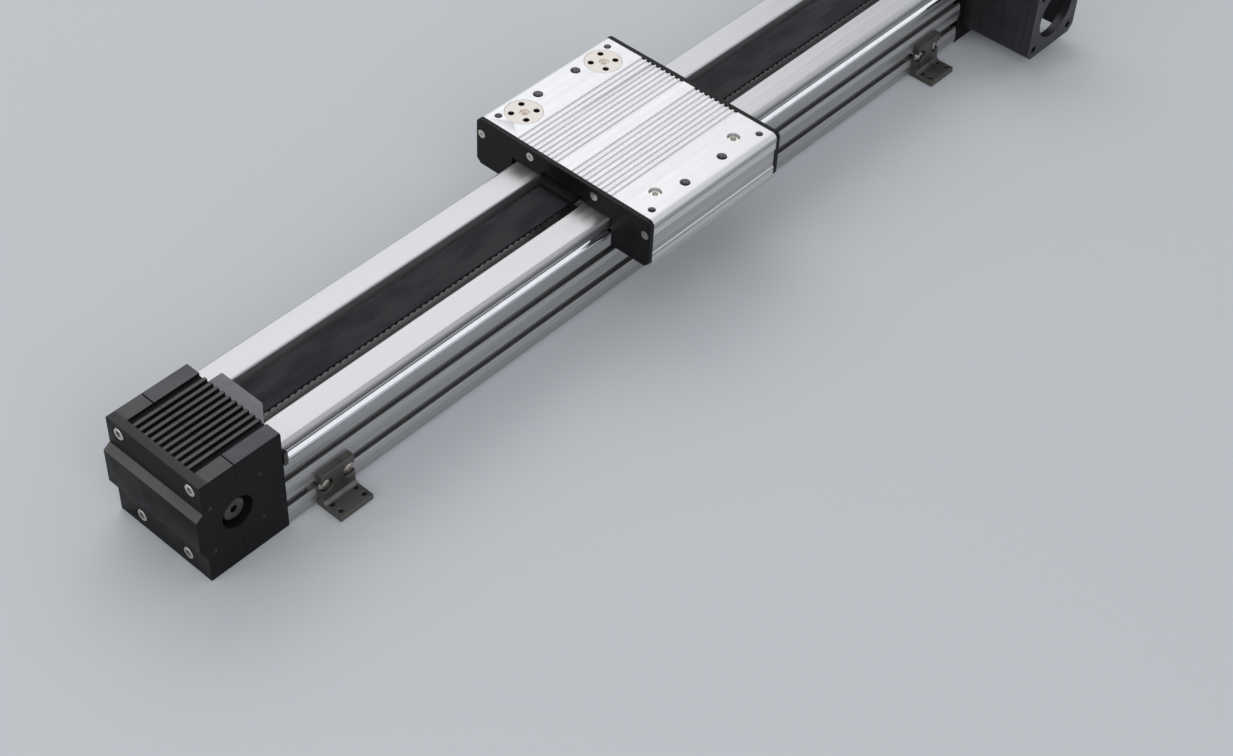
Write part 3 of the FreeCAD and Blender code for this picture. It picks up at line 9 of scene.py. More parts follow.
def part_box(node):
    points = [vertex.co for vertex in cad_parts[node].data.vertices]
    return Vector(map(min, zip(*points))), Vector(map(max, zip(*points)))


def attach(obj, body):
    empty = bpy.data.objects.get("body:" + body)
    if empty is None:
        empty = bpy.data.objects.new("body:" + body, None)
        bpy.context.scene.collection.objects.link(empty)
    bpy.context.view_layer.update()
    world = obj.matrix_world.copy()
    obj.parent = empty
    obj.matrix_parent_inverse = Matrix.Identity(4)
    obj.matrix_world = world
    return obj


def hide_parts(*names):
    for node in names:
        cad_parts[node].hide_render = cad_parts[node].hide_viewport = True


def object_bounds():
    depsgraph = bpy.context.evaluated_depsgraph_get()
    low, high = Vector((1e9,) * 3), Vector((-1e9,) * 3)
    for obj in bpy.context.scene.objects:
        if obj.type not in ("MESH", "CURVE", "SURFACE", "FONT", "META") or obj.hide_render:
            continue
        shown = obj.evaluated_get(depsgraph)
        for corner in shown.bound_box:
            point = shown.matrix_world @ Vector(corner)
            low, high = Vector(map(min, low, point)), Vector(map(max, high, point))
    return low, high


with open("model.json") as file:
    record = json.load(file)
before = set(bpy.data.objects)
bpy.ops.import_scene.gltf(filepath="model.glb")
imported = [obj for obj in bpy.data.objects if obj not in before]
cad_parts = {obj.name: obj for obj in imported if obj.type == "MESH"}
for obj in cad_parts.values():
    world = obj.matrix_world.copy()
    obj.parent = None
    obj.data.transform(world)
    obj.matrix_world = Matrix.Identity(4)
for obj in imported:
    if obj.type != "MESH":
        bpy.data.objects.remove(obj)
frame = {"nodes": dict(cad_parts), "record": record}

print("stage: frame loaded,", len(frame["nodes"]), "parts")
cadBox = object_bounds()
bodyOf = {}
for bodyName, members in frame["record"]["behaviour"]["bodies"].items():
    for member in members:
        bodyOf[member] = bodyName

scene = bpy.context.scene
scene.view_settings.view_transform = "Standard"


# Camera, from the photograph's own vanishing lines

cameraView = {
    "place": (-0.8460, -0.7073, 0.9613),
    "right": (0.6689, -0.7423, 0.0395),
    "down": (-0.5075, -0.4949, -0.7053),
    "focalPixels": 2175.2,
    "middlePixel": (613.97, 376.95),
    "photoPixels": (1233, 756),
    "sensor": 36,
    "clip": (0.01, 50),
}


def addCamera(view):
    wide, high = view["photoPixels"]
    data = bpy.data.cameras.new("photoCamera")
    data.sensor_width = view["sensor"]
    data.lens = view["sensor"] * view["focalPixels"] / wide
    data.shift_x = (wide / 2 - view["middlePixel"][0]) / wide
    data.shift_y = (view["middlePixel"][1] - high / 2) / wide
    data.clip_start, data.clip_end = view["clip"]
    camera = bpy.data.objects.new("photoCamera", data)
    scene.collection.objects.link(camera)
    right = Vector(view["right"]).normalized()
    up = -Vector(view["down"]).normalized()
    back = right.cross(up)
    turn = Matrix((right, up, back)).transposed()
    camera.matrix_world = Matrix.Translation(view["place"]) @ turn.to_4x4()
    scene.camera = camera


addCamera(cameraView)


# Lamps, room and floor

lamps = {
    "windowLamp": {"place": (0.75, 1.35, 1.75), "size": (2.0, 1.3), "watts": 10, "tint": (1.0, 0.99, 0.97)},
    "fillLamp": {"place": (-0.9, -1.5, 1.3), "size": (1.2, 0.9), "watts": 5, "tint": (0.95, 0.97, 1.0)},
    "endLamp": {"place": (-1.9, 0.4, 0.9), "size": (1.2, 0.9), "watts": 5, "tint": (1.0, 1.0, 1.0)},
}
room = {"seenStrength": 1.0, "lightStrength": 0.5, "tint": (0.93, 0.95, 0.98)}
floorLook = {"radius": 4.0, "segments": 96, "below": 0.0002, "color": (0.74, 0.76, 0.79),
             "roughness": 0.75, "specular": 0.2}


def addLamp(name, lamp):
    data = bpy.data.lights.new(name, "AREA")
    data.shape = "RECTANGLE"
    data.size, data.size_y = lamp["size"]
    data.energy = lamp["watts"]
    data.color = lamp["tint"]
    made = bpy.data.objects.new(name, data)
    made.location = lamp["place"]
    made.rotation_mode = "QUATERNION"
    made.rotation_quaternion = (-Vector(lamp["place"])).to_track_quat("-Z", "Y")
    scene.collection.objects.link(made)


def addRoom():
    world = bpy.data.worlds.new("room")
    world.use_nodes = True
    scene.world = world
    nodes, links = world.node_tree.nodes, world.node_tree.links
    path = nodes.new("ShaderNodeLightPath")
    firstSum = nodes.new("ShaderNodeMath")
    firstSum.operation = "MAXIMUM"
    links.new(path.outputs["Is Camera Ray"], firstSum.inputs[0])
    links.new(path.outputs["Is Glossy Ray"], firstSum.inputs[1])
    secondSum = nodes.new("ShaderNodeMath")
    secondSum.operation = "MAXIMUM"
    links.new(firstSum.outputs[0], secondSum.inputs[0])
    links.new(path.outputs["Is Transmission Ray"], secondSum.inputs[1])
    strength = nodes.new("ShaderNodeMapRange")
    strength.inputs["To Min"].default_value = room["lightStrength"]
    strength.inputs["To Max"].default_value = room["seenStrength"]
    links.new(secondSum.outputs[0], strength.inputs["Value"])
    background = nodes["Background"]
    background.inputs["Color"].default_value = (*room["tint"], 1)
    links.new(strength.outputs["Result"], background.inputs["Strength"])


def addFloor():
    bm = bmesh.new()
    bmesh.ops.create_circle(bm, cap_ends=True, segments=floorLook["segments"], radius=floorLook["radius"])
    mesh = bpy.data.meshes.new("paleFloor")
    bm.to_mesh(mesh)
    bm.free()
    made = bpy.data.objects.new("paleFloor", mesh)
    made.location.z = cadBox[0].z - floorLook["below"]
    scene.collection.objects.link(made)
    material = bpy.data.materials.new("paleFloor")
    material.use_nodes = True
    shader = material.node_tree.nodes["Principled BSDF"]
    shader.inputs["Base Color"].default_value = (*floorLook["color"], 1)
    shader.inputs["Roughness"].default_value = floorLook["roughness"]
    shader.inputs["Specular IOR Level"].default_value = floorLook["specular"]
    mesh.materials.append(material)


for lampName, lampValues in lamps.items():
    addLamp(lampName, lampValues)
addRoom()
addFloor()
print("stage: camera, lamps and floor set")


# Shader node groups that several finishes use

def newGroup(name, inputs, outputs):
    group = bpy.data.node_groups.new(name, "ShaderNodeTree")
    for label, kind, start in inputs:
        socket = group.interface.new_socket(label, in_out="INPUT", socket_type=kind)
        if start is not None:
            socket.default_value = start
    for label, kind in outputs:
        group.interface.new_socket(label, in_out="OUTPUT", socket_type=kind)
    nodes = group.nodes
    return group, nodes, group.links, nodes.new("NodeGroupInput"), nodes.new("NodeGroupOutput")


def addNoise(nodes, links, vector, scale, detail=4.0, rough=0.55):
    noise = nodes.new("ShaderNodeTexNoise")
    noise.inputs["Detail"].default_value = detail
    noise.inputs["Roughness"].default_value = rough
    links.new(vector, noise.inputs["Vector"])
    if isinstance(scale, (int, float)):
        noise.inputs["Scale"].default_value = scale
    else:
        links.new(scale, noise.inputs["Scale"])
    return noise.outputs["Fac"]


def addMath(nodes, links, operation, first, second):
    node = nodes.new("ShaderNodeMath")
    node.operation = operation
    for socket, source in zip(node.inputs, (first, second)):
        if isinstance(source, (int, float)):
            socket.default_value = source
        else:
            links.new(source, socket)
    return node.outputs[0]


def addRange(nodes, links, source, low, high, outLow=0.0, outHigh=1.0):
    node = nodes.new("ShaderNodeMapRange")
    node.interpolation_type = "SMOOTHSTEP"
    links.new(source, node.inputs["Value"])
    node.inputs["From Min"].default_value = low
    node.inputs["From Max"].default_value = high
    node.inputs["To Min"].default_value = outLow
    node.inputs["To Max"].default_value = outHigh
    return node.outputs["Result"]


def grainGroup():
    # Fine moulded or blasted grain, with a slow change over it
    group, nodes, links, start, end = newGroup(
        "surfaceGrain",
        [("Vector", "NodeSocketVector", None), ("Scale", "NodeSocketFloat", 900.0)],
        [("Height", "NodeSocketFloat"), ("Mask", "NodeSocketFloat")])
    fine = addNoise(nodes, links, start.outputs["Vector"], start.outputs["Scale"], 3.0, 0.6)
    coarseScale = addMath(nodes, links, "MULTIPLY", start.outputs["Scale"], 0.035)
    coarse = addNoise(nodes, links, start.outputs["Vector"], coarseScale, 5.0)
    links.new(fine, end.inputs["Height"])
    links.new(addRange(nodes, links, coarse, 0.35, 0.68), end.inputs["Mask"])
    return group


def streakGroup():
    # Die lines or brushing along one direction; the vector comes in already stretched
    group, nodes, links, start, end = newGroup(
        "drawnLines",
        [("Vector", "NodeSocketVector", None), ("Scale", "NodeSocketFloat", 1.0)],
        [("Height", "NodeSocketFloat"), ("Mask", "NodeSocketFloat")])
    fine = addNoise(nodes, links, start.outputs["Vector"], start.outputs["Scale"], 6.0, 0.7)
    broadScale = addMath(nodes, links, "MULTIPLY", start.outputs["Scale"], 0.18)
    broad = addNoise(nodes, links, start.outputs["Vector"], broadScale, 3.0)
    links.new(fine, end.inputs["Height"])
    both = addMath(nodes, links, "ADD", addMath(nodes, links, "MULTIPLY", fine, 0.5),
                   addMath(nodes, links, "MULTIPLY", broad, 0.5))
    links.new(addRange(nodes, links, both, 0.38, 0.64), end.inputs["Mask"])
    return group


def dustGroup():
    # Settled dust on faces that look up
    group, nodes, links, start, end = newGroup(
        "settledDust",
        [("Vector", "NodeSocketVector", None), ("Amount", "NodeSocketFloat", 0.3)],
        [("Mask", "NodeSocketFloat")])
    normal = nodes.new("ShaderNodeNewGeometry")
    parts = nodes.new("ShaderNodeSeparateXYZ")
    links.new(normal.outputs["Normal"], parts.inputs[0])
    up = addRange(nodes, links, parts.outputs["Z"], 0.3, 1.0)
    spots = addNoise(nodes, links, start.outputs["Vector"], 60.0, 8.0, 0.7)
    patchy = addRange(nodes, links, spots, 0.35, 0.75)
    share = addMath(nodes, links, "MULTIPLY", up, patchy)
    links.new(addMath(nodes, links, "MULTIPLY", share, start.outputs["Amount"]), end.inputs["Mask"])
    return group


def ringGroup():
    # Turning marks round the vector's Z axis
    group, nodes, links, start, end = newGroup(
        "turnedRings",
        [("Vector", "NodeSocketVector", None), ("Rings", "NodeSocketFloat", 2500.0)],
        [("Height", "NodeSocketFloat")])
    wave = nodes.new("ShaderNodeTexWave")
    wave.wave_type = "RINGS"
    wave.rings_direction = "Z"
    wave.inputs["Distortion"].default_value = 0.6
    wave.inputs["Detail"].default_value = 2.0
    links.new(start.outputs["Vector"], wave.inputs["Vector"])
    links.new(start.outputs["Rings"], wave.inputs["Scale"])
    links.new(wave.outputs["Fac"], end.inputs["Height"])
    return group


groups = {"grain": grainGroup(), "streak": streakGroup(), "dust": dustGroup(), "ring": ringGroup()}


class Finish:
    # One material in the making: its tree, its shader and its object coordinates
    def __init__(self, name, color, roughness, metallic=0.0, **sockets):
        self.material = bpy.data.materials.new(name)
        self.material.use_nodes = True
        tree = self.material.node_tree
        self.nodes, self.links = tree.nodes, tree.links
        self.shader = self.nodes["Principled BSDF"]
        self.shader.inputs["Base Color"].default_value = (*color, 1)
        self.shader.inputs["Roughness"].default_value = roughness
        self.shader.inputs["Metallic"].default_value = metallic
        for label, number in sockets.items():
            self.shader.inputs[label.replace("_", " ")].default_value = number
        self.coordinates = self.nodes.new("ShaderNodeTexCoord").outputs["Object"]

    def mapped(self, scale=(1, 1, 1), place=(0, 0, 0)):
        mapping = self.nodes.new("ShaderNodeMapping")
        mapping.vector_type = "TEXTURE" if place != (0, 0, 0) else "POINT"
        mapping.inputs["Location"].default_value = place
        mapping.inputs["Scale"].default_value = scale
        self.links.new(self.coordinates, mapping.inputs["Vector"])
        return mapping.outputs["Vector"]

    def group(self, name, vector, **values):
        node = self.nodes.new("ShaderNodeGroup")
        node.node_tree = groups[name]
        self.links.new(vector, node.inputs["Vector"])
        for label, number in values.items():
            node.inputs[label].default_value = number
        return node.outputs

    def mix(self, mask, first, second):
        node = self.nodes.new("ShaderNodeMix")
        node.data_type = "RGBA"
        self.links.new(mask, node.inputs["Factor"])
        for socket, source in ((node.inputs[6], first), (node.inputs[7], second)):
            if isinstance(source, tuple):
                socket.default_value = (*source, 1)
            else:
                self.links.new(source, socket)
        return node.outputs[2]

    def color(self, source):
        self.links.new(source, self.shader.inputs["Base Color"])

    def roughness(self, mask, low, high):
        spread = addRange(self.nodes, self.links, mask, 0, 1, low, high)
        self.links.new(spread, self.shader.inputs["Roughness"])

    def bump(self, height, strength, distance):
        bump = self.nodes.new("ShaderNodeBump")
        bump.inputs["Strength"].default_value = strength
        bump.inputs["Distance"].default_value = distance
        self.links.new(height, bump.inputs["Height"])
        if self.shader.inputs["Normal"].is_linked:
            before = self.shader.inputs["Normal"].links[0].from_socket
            self.links.new(before, bump.inputs["Normal"])
        self.links.new(bump.outputs["Normal"], self.shader.inputs["Normal"])


# Finishes

def anodisedBeam():
    # Extruded along X: long die lines, a thin clear oxide over pale metal
    finish = Finish("anodisedBeam", (0.44, 0.44, 0.45), 0.36, 0.85)
    lines = finish.group("streak", finish.mapped((0.6, 260, 260)), Scale=6.0)
    fine = finish.group("grain", finish.coordinates, Scale=1600.0)
    finish.color(finish.mix(lines["Mask"], (0.395, 0.395, 0.405), (0.485, 0.485, 0.495)))
    finish.roughness(lines["Mask"], 0.30, 0.42)
    finish.bump(lines["Height"], 0.25, 0.00008)
    finish.bump(fine["Height"], 0.12, 0.00004)
    return finish.material


def anodisedCarriage():
    finish = Finish("anodisedCarriage", (0.64, 0.64, 0.65), 0.42, 0.75)
    lines = finish.group("streak", finish.mapped((1.0, 240, 240)), Scale=5.0)
    fine = finish.group("grain", finish.coordinates, Scale=1800.0)
    tone = finish.mix(lines["Mask"], (0.6, 0.6, 0.61), (0.68, 0.68, 0.69))
    finish.color(finish.mix(fine["Mask"], tone, (0.65, 0.65, 0.66)))
    finish.roughness(lines["Mask"], 0.36, 0.48)
    finish.bump(lines["Height"], 0.2, 0.00006)
    finish.bump(fine["Height"], 0.2, 0.00005)
    return finish.material


def carriageSidePaintedShade():
    # The carriage's long sides: the same metal, with plainer die lines, painted darker than the top as
    # painted shade
    finish = Finish("carriageSidePaintedShade", (0.49, 0.49, 0.495), 0.46, 0.75)
    lines = finish.group("streak", finish.mapped((1.0, 300, 300)), Scale=3.0)
    fine = finish.group("grain", finish.coordinates, Scale=1800.0)
    finish.color(finish.mix(lines["Mask"], (0.4, 0.4, 0.405), (0.58, 0.58, 0.585)))
    finish.roughness(lines["Mask"], 0.38, 0.54)
    finish.bump(lines["Height"], 0.35, 0.00008)
    finish.bump(fine["Height"], 0.2, 0.00005)
    return finish.material


def grooveWallPaintedLight():
    # The sides of the top's grooves, painted pale as painted light: it stands for the light they catch from
    # the ribs beside them
    finish = Finish("grooveWallPaintedLight", (0.9, 0.9, 0.91), 0.6, 0.0)
    fine = finish.group("grain", finish.coordinates, Scale=1800.0)
    finish.color(finish.mix(fine["Mask"], (0.86, 0.86, 0.87), (0.94, 0.94, 0.95)))
    finish.roughness(fine["Mask"], 0.54, 0.68)
    return finish.material


def beamPaintedShade(name, color, roughness):
    # Painted shade: the beam's drawn metal where it lies in its own shade, the slots' flanks and hollows,
    # as shaded copies of the beam's metal
    finish = Finish(name, color, roughness, 0.6)
    lines = finish.group("streak", finish.mapped((0.6, 260, 260)), Scale=6.0)
    finish.color(finish.mix(lines["Mask"], tuple(0.85 * c for c in color), tuple(1.18 * c for c in color)))
    finish.roughness(lines["Mask"], roughness - 0.05, roughness + 0.1)
    finish.bump(lines["Height"], 0.25, 0.00008)
    return finish.material


def chromedRod():
    finish = Finish("chromedRod", (0.86, 0.87, 0.89), 0.1, 1.0)
    lines = finish.group("streak", finish.mapped((90, 4, 4)), Scale=9.0)
    finish.color(finish.mix(lines["Mask"], (0.82, 0.83, 0.85), (0.9, 0.9, 0.92)))
    finish.roughness(lines["Mask"], 0.07, 0.16)
    finish.bump(lines["Height"], 0.05, 0.00002)
    return finish.material


def blackHousing():
    # Blasted and black: a fine grain, with a little dust on faces that look up
    finish = Finish("blackHousing", (0.009, 0.0092, 0.01), 0.5, 0.0, Specular_IOR_Level=0.1)
    grain = finish.group("grain", finish.coordinates, Scale=1300.0)
    dust = finish.group("dust", finish.coordinates, Amount=0.25)
    tone = finish.mix(grain["Mask"], (0.007, 0.0072, 0.0078), (0.012, 0.0122, 0.013))
    finish.color(finish.mix(dust["Mask"], tone, (0.03, 0.03, 0.032)))
    finish.roughness(grain["Mask"], 0.42, 0.58)
    finish.bump(grain["Height"], 0.35, 0.00012)
    return finish.material


def paintedLightBlack(name, color, roughness):
    # The housing's smoother facets that look up, painted lighter than the housing: painted light and
    # painted highlight
    finish = Finish(name, color, roughness, 0.0, Specular_IOR_Level=0.5)
    grain = finish.group("grain", finish.coordinates, Scale=1700.0)
    finish.color(finish.mix(grain["Mask"], tuple(0.8 * c for c in color), tuple(1.25 * c for c in color)))
    finish.roughness(grain["Mask"], roughness - 0.05, roughness + 0.08)
    finish.bump(grain["Height"], 0.15, 0.00006)
    return finish.material


ribBorder = {"start": 0.3800, "end": 0.3838}


def ribPaintedLight(color, borderPaintedShade):
    # Painted light on the ribs' tops, which catch light; the border before them, which doesn't, is painted
    # darker as painted shade
    finish = Finish("ribPaintedLight", color, 0.45, 0.0, Specular_IOR_Level=0.5)
    grain = finish.group("grain", finish.coordinates, Scale=1700.0)
    parts = finish.nodes.new("ShaderNodeSeparateXYZ")
    finish.links.new(finish.coordinates, parts.inputs[0])
    along = addMath(finish.nodes, finish.links, "ABSOLUTE", parts.outputs["X"], 0.0)
    border = addRange(finish.nodes, finish.links, along, ribBorder["start"], ribBorder["end"])
    tone = finish.mix(grain["Mask"], tuple(0.8 * c for c in color), tuple(1.25 * c for c in color))
    finish.color(finish.mix(border, tone, borderPaintedShade))
    finish.roughness(border, 0.42, 0.62)
    finish.bump(grain["Height"], 0.15, 0.00006)
    return finish.material


def blackPlate():
    finish = Finish("blackPlate", (0.009, 0.0092, 0.01), 0.42, 0.0, Specular_IOR_Level=0.12)
    grain = finish.group("grain", finish.coordinates, Scale=1900.0)
    dust = finish.group("dust", finish.coordinates, Amount=0.3)
    tone = finish.mix(grain["Mask"], (0.007, 0.0072, 0.0078), (0.012, 0.0122, 0.013))
    finish.color(finish.mix(dust["Mask"], tone, (0.03, 0.03, 0.032)))
    finish.roughness(grain["Mask"], 0.36, 0.5)
    finish.bump(grain["Height"], 0.2, 0.00007)
    return finish.material


def blackAnodised():
    finish = Finish("blackAnodised", (0.03, 0.031, 0.034), 0.4, 0.55)
    lines = finish.group("streak", finish.mapped((12, 300, 12)), Scale=4.0)
    grain = finish.group("grain", finish.coordinates, Scale=1500.0)
    finish.color(finish.mix(lines["Mask"], (0.026, 0.027, 0.03), (0.042, 0.043, 0.047)))
    finish.roughness(grain["Mask"], 0.34, 0.5)
    finish.bump(grain["Height"], 0.2, 0.00006)
    return finish.material


def coverGrey():
    # Smooth grey plastic with a faint depth
    finish = Finish("coverGrey", (0.08, 0.083, 0.103), 0.3, 0.0, Coat_Weight=0.15, Coat_Roughness=0.15)
    grain = finish.group("grain", finish.coordinates, Scale=5200.0)
    finish.color(finish.mix(grain["Mask"], (0.055, 0.057, 0.073), (0.13, 0.134, 0.158)))
    finish.roughness(grain["Mask"], 0.24, 0.4)
    finish.bump(grain["Height"], 0.1, 0.00006)
    return finish.material


def bracketSteel():
    finish = Finish("bracketSteel", (0.12, 0.113, 0.105), 0.42, 0.8)
    grain = finish.group("grain", finish.coordinates, Scale=1100.0)
    lines = finish.group("streak", finish.mapped((260, 14, 14)), Scale=4.0)
    tone = finish.mix(lines["Mask"], (0.1, 0.094, 0.087), (0.155, 0.147, 0.137))
    finish.color(finish.mix(grain["Mask"], tone, (0.13, 0.123, 0.114)))
    finish.roughness(grain["Mask"], 0.34, 0.52)
    finish.bump(grain["Height"], 0.25, 0.00006)
    return finish.material


def zincSteel():
    finish = Finish("zincSteel", (0.62, 0.605, 0.56), 0.28, 1.0)
    grain = finish.group("grain", finish.coordinates, Scale=2400.0)
    finish.color(finish.mix(grain["Mask"], (0.54, 0.53, 0.49), (0.7, 0.685, 0.64)))
    finish.roughness(grain["Mask"], 0.2, 0.36)
    finish.bump(grain["Height"], 0.15, 0.00004)
    return finish.material


def polishedScrew():
    # Dark screw heads with one sharp glint
    finish = Finish("polishedScrew", (0.42, 0.39, 0.36), 0.16, 1.0)
    grain = finish.group("grain", finish.coordinates, Scale=2400.0)
    finish.color(finish.mix(grain["Mask"], (0.36, 0.335, 0.31), (0.5, 0.47, 0.44)))
    finish.roughness(grain["Mask"], 0.1, 0.22)
    finish.bump(grain["Height"], 0.06, 0.00003)
    return finish.material


def darkSteel():
    finish = Finish("darkSteel", (0.09, 0.086, 0.088), 0.32, 0.85)
    lines = finish.group("streak", finish.mapped((500, 40, 500)), Scale=3.0)
    finish.color(finish.mix(lines["Mask"], (0.07, 0.066, 0.068), (0.125, 0.12, 0.122)))
    finish.roughness(lines["Mask"], 0.22, 0.38)
    finish.bump(lines["Height"], 0.1, 0.00003)
    return finish.material


def groundSteel():
    finish = Finish("groundSteel", (0.55, 0.55, 0.56), 0.24, 1.0)
    lines = finish.group("streak", finish.mapped((40, 40, 700)), Scale=4.0)
    finish.color(finish.mix(lines["Mask"], (0.5, 0.5, 0.51), (0.63, 0.63, 0.64)))
    finish.roughness(lines["Mask"], 0.16, 0.32)
    finish.bump(lines["Height"], 0.15, 0.00003)
    return finish.material


def machinedAluminium():
    finish = Finish("machinedAluminium", (0.6, 0.61, 0.62), 0.32, 0.9)
    lines = finish.group("streak", finish.mapped((30, 500, 500)), Scale=4.0)
    finish.color(finish.mix(lines["Mask"], (0.54, 0.55, 0.56), (0.68, 0.69, 0.7)))
    finish.roughness(lines["Mask"], 0.25, 0.4)
    finish.bump(lines["Height"], 0.2, 0.00005)
    return finish.material


def palePlating(name, centre):
    # Turned disc: rings round its own centre
    finish = Finish(name, (0.93, 0.86, 0.79), 0.4, 0.1)
    rings = finish.group("ring", finish.mapped(place=(centre.x, centre.y, 0)), Rings=900.0)
    grain = finish.group("grain", finish.coordinates, Scale=1500.0)
    finish.color(finish.mix(grain["Mask"], (0.89, 0.82, 0.75), (0.96, 0.9, 0.84)))
    finish.roughness(grain["Mask"], 0.28, 0.42)
    finish.bump(rings["Height"], 0.15, 0.00004)
    return finish.material


def beltRubber():
    finish = Finish("beltRubber", (0.017, 0.016, 0.02), 0.62, 0.0, Specular_IOR_Level=0.16)
    weave = finish.group("grain", finish.mapped((0.3, 1, 1)), Scale=2200.0)
    lines = finish.group("streak", finish.mapped((2, 420, 420)), Scale=4.0)
    dust = finish.group("dust", finish.coordinates, Amount=0.16)
    tone = finish.mix(lines["Mask"], (0.014, 0.013, 0.0165), (0.021, 0.02, 0.025))
    finish.color(finish.mix(dust["Mask"], tone, (0.035, 0.034, 0.039)))
    finish.roughness(weave["Mask"], 0.5, 0.72)
    finish.bump(lines["Height"], 0.15, 0.00006)
    finish.bump(weave["Height"], 0.3, 0.00008)
    return finish.material


def feltCloth():
    finish = Finish("feltCloth", (0.4, 0.38, 0.33), 0.95, 0.0, Sheen_Weight=0.4, Sheen_Roughness=0.5)
    fibre = finish.group("grain", finish.coordinates, Scale=1700.0)
    finish.color(finish.mix(fibre["Mask"], (0.3, 0.28, 0.24), (0.5, 0.47, 0.41)))
    finish.roughness(fibre["Mask"], 0.88, 1.0)
    finish.bump(fibre["Height"], 0.9, 0.0003)
    return finish.material


def sealRubberAndPaintedShade():
    # Black rubber for the rollers' seals and the housings' side threads; in the discs' pin holes the same
    # black is painted shade
    finish = Finish("sealRubberAndPaintedShade", (0.02, 0.02, 0.021), 0.55, 0.0)
    grain = finish.group("grain", finish.coordinates, Scale=1500.0)
    finish.color(finish.mix(grain["Mask"], (0.016, 0.016, 0.017), (0.03, 0.03, 0.031)))
    finish.roughness(grain["Mask"], 0.48, 0.62)
    finish.bump(grain["Height"], 0.2, 0.00006)
    return finish.material


def boreMetalPaintedShade():
    # Cut thread in a tapped hole, painted dark as painted shade inside the hole
    finish = Finish("boreMetalPaintedShade", (0.13, 0.13, 0.135), 0.3, 0.9)
    lines = finish.group("streak", finish.mapped((60, 60, 900)), Scale=3.0)
    finish.color(finish.mix(lines["Mask"], (0.09, 0.09, 0.095), (0.19, 0.19, 0.195)))
    finish.roughness(lines["Mask"], 0.24, 0.4)
    finish.bump(lines["Height"], 0.1, 0.00003)
    return finish.material


finishes = {
    "beam": anodisedBeam(),
    "carriage": anodisedCarriage(),
    "flank": beamPaintedShade("beamFlankPaintedShade", (0.44, 0.443, 0.446), 0.42),
    "hollow": beamPaintedShade("beamHollowPaintedShade", (0.2, 0.2, 0.202), 0.5),
    "rod": chromedRod(),
    "housing": blackHousing(),
    "strip": paintedLightBlack("blackStripPaintedLight", (0.03, 0.028, 0.037), 0.4),
    "ledge": paintedLightBlack("blackLedgePaintedHighlight", (0.055, 0.05, 0.047), 0.38),
    "rib": ribPaintedLight((0.022, 0.022, 0.0235), (0.006, 0.0061, 0.0066)),
    "side": carriageSidePaintedShade(),
    "grooveWallPaintedLight": grooveWallPaintedLight(),
    "plate": blackPlate(),
    "lantern": blackAnodised(),
    "cover": coverGrey(),
    "bracket": bracketSteel(),
    "screw": zincSteel(),
    "bearing": groundSteel(),
    "machined": machinedAluminium(),
    "belt": beltRubber(),
    "felt": feltCloth(),
    "seal": sealRubberAndPaintedShade(),
    "thread": boreMetalPaintedShade(),
    "shaft": darkSteel(),
    "dome": polishedScrew(),
}
print("stage: finishes made")

nodeFinish = {
    "beam": ["profile_extrusion"],
    "carriage": ["carriage_body"],
    "rod": ["guide_rod_near", "guide_rod_far"],
    "housing": ["idler_housing_front", "idler_housing_rear", "drive_housing_front", "drive_housing_rear"],
    "plate": ["front_end_plate", "rear_end_plate", "front_belt_clamp", "rear_belt_clamp"],
    "lantern": ["motor_lantern", "motor_flange"],
    "cover": ["idler_slot_cover", "drive_slot_cover"],
    "bracket": ["bracket_idler_near", "bracket_idler_far", "bracket_drive_near", "bracket_drive_far"],
    "screw": ["idler_housing_screws", "drive_housing_screws", "lantern_screws", "slot_nuts",
              "end_plate_screws", "belt_clamp_screws", "coupling_screw", "near_roller_axles",
              "near_roller_retainers", "far_roller_retainer_front", "far_roller_retainer_rear"],
    "dome": ["bracket_screws"],
    "bearing": ["idler_bearing_outer_rings", "idler_bearing_inner_rings", "drive_bearing_outer_rings",
                "drive_bearing_inner_rings", "roller_near_front", "roller_near_rear", "roller_far_front",
                "roller_far_rear"],
    "shaft": ["idler_shaft", "drive_shaft", "rod_end_stops"],
    "machined": ["idler_pulley", "drive_pulley", "coupling_hub", "front_belt_grip", "rear_belt_grip"],
    "belt": ["drive_belt"],
    "felt": ["front_rod_wipers", "rear_rod_wipers"],
}


def setFinish(target, material):
    target.data.materials.clear()
    target.data.materials.append(material)


for finishName, nodeNames in nodeFinish.items():
    for nodeName in nodeNames:
        setFinish(frame["nodes"][nodeName], finishes[finishName])
for discName, axleName in (("far_eccentric_front", "far_roller_axle_front"),
                           ("far_eccentric_rear", "far_roller_axle_rear")):
    low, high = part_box(discName)
    plating = palePlating("palePlating_" + discName.split("_")[-1], (low + high) / 2)
    setFinish(frame["nodes"][discName], plating)
    setFinish(frame["nodes"][axleName], plating)
print("stage: finishes on the parts")


# Parts whose sharp edges get a small real rounding, as a copy of the part that stands for it

softEdges = {
    "profile_extrusion": 0.00022,
    "carriage_body": 0.00022,
    "front_end_plate": 0.0003,
    "rear_end_plate": 0.0003,
    "idler_housing_front": 0.0003,
    "idler_housing_rear": 0.0003,
    "drive_housing_front": 0.0003,
    "drive_housing_rear": 0.0003,
    "motor_lantern": 0.0003,
    "motor_flange": 0.0003,
    "idler_slot_cover": 0.0002,
    "drive_slot_cover": 0.0002,
    "bracket_idler_near": 0.00035,
    "bracket_idler_far": 0.00035,
    "bracket_drive_near": 0.00035,
    "bracket_drive_far": 0.00035,
    "front_belt_clamp": 0.00025,
    "rear_belt_clamp": 0.00025,
}


rounding = {"weld": 0.000002, "flatAngle": 0.6, "smoothAngle": 32, "bevelAngle": 40, "segments": 2}


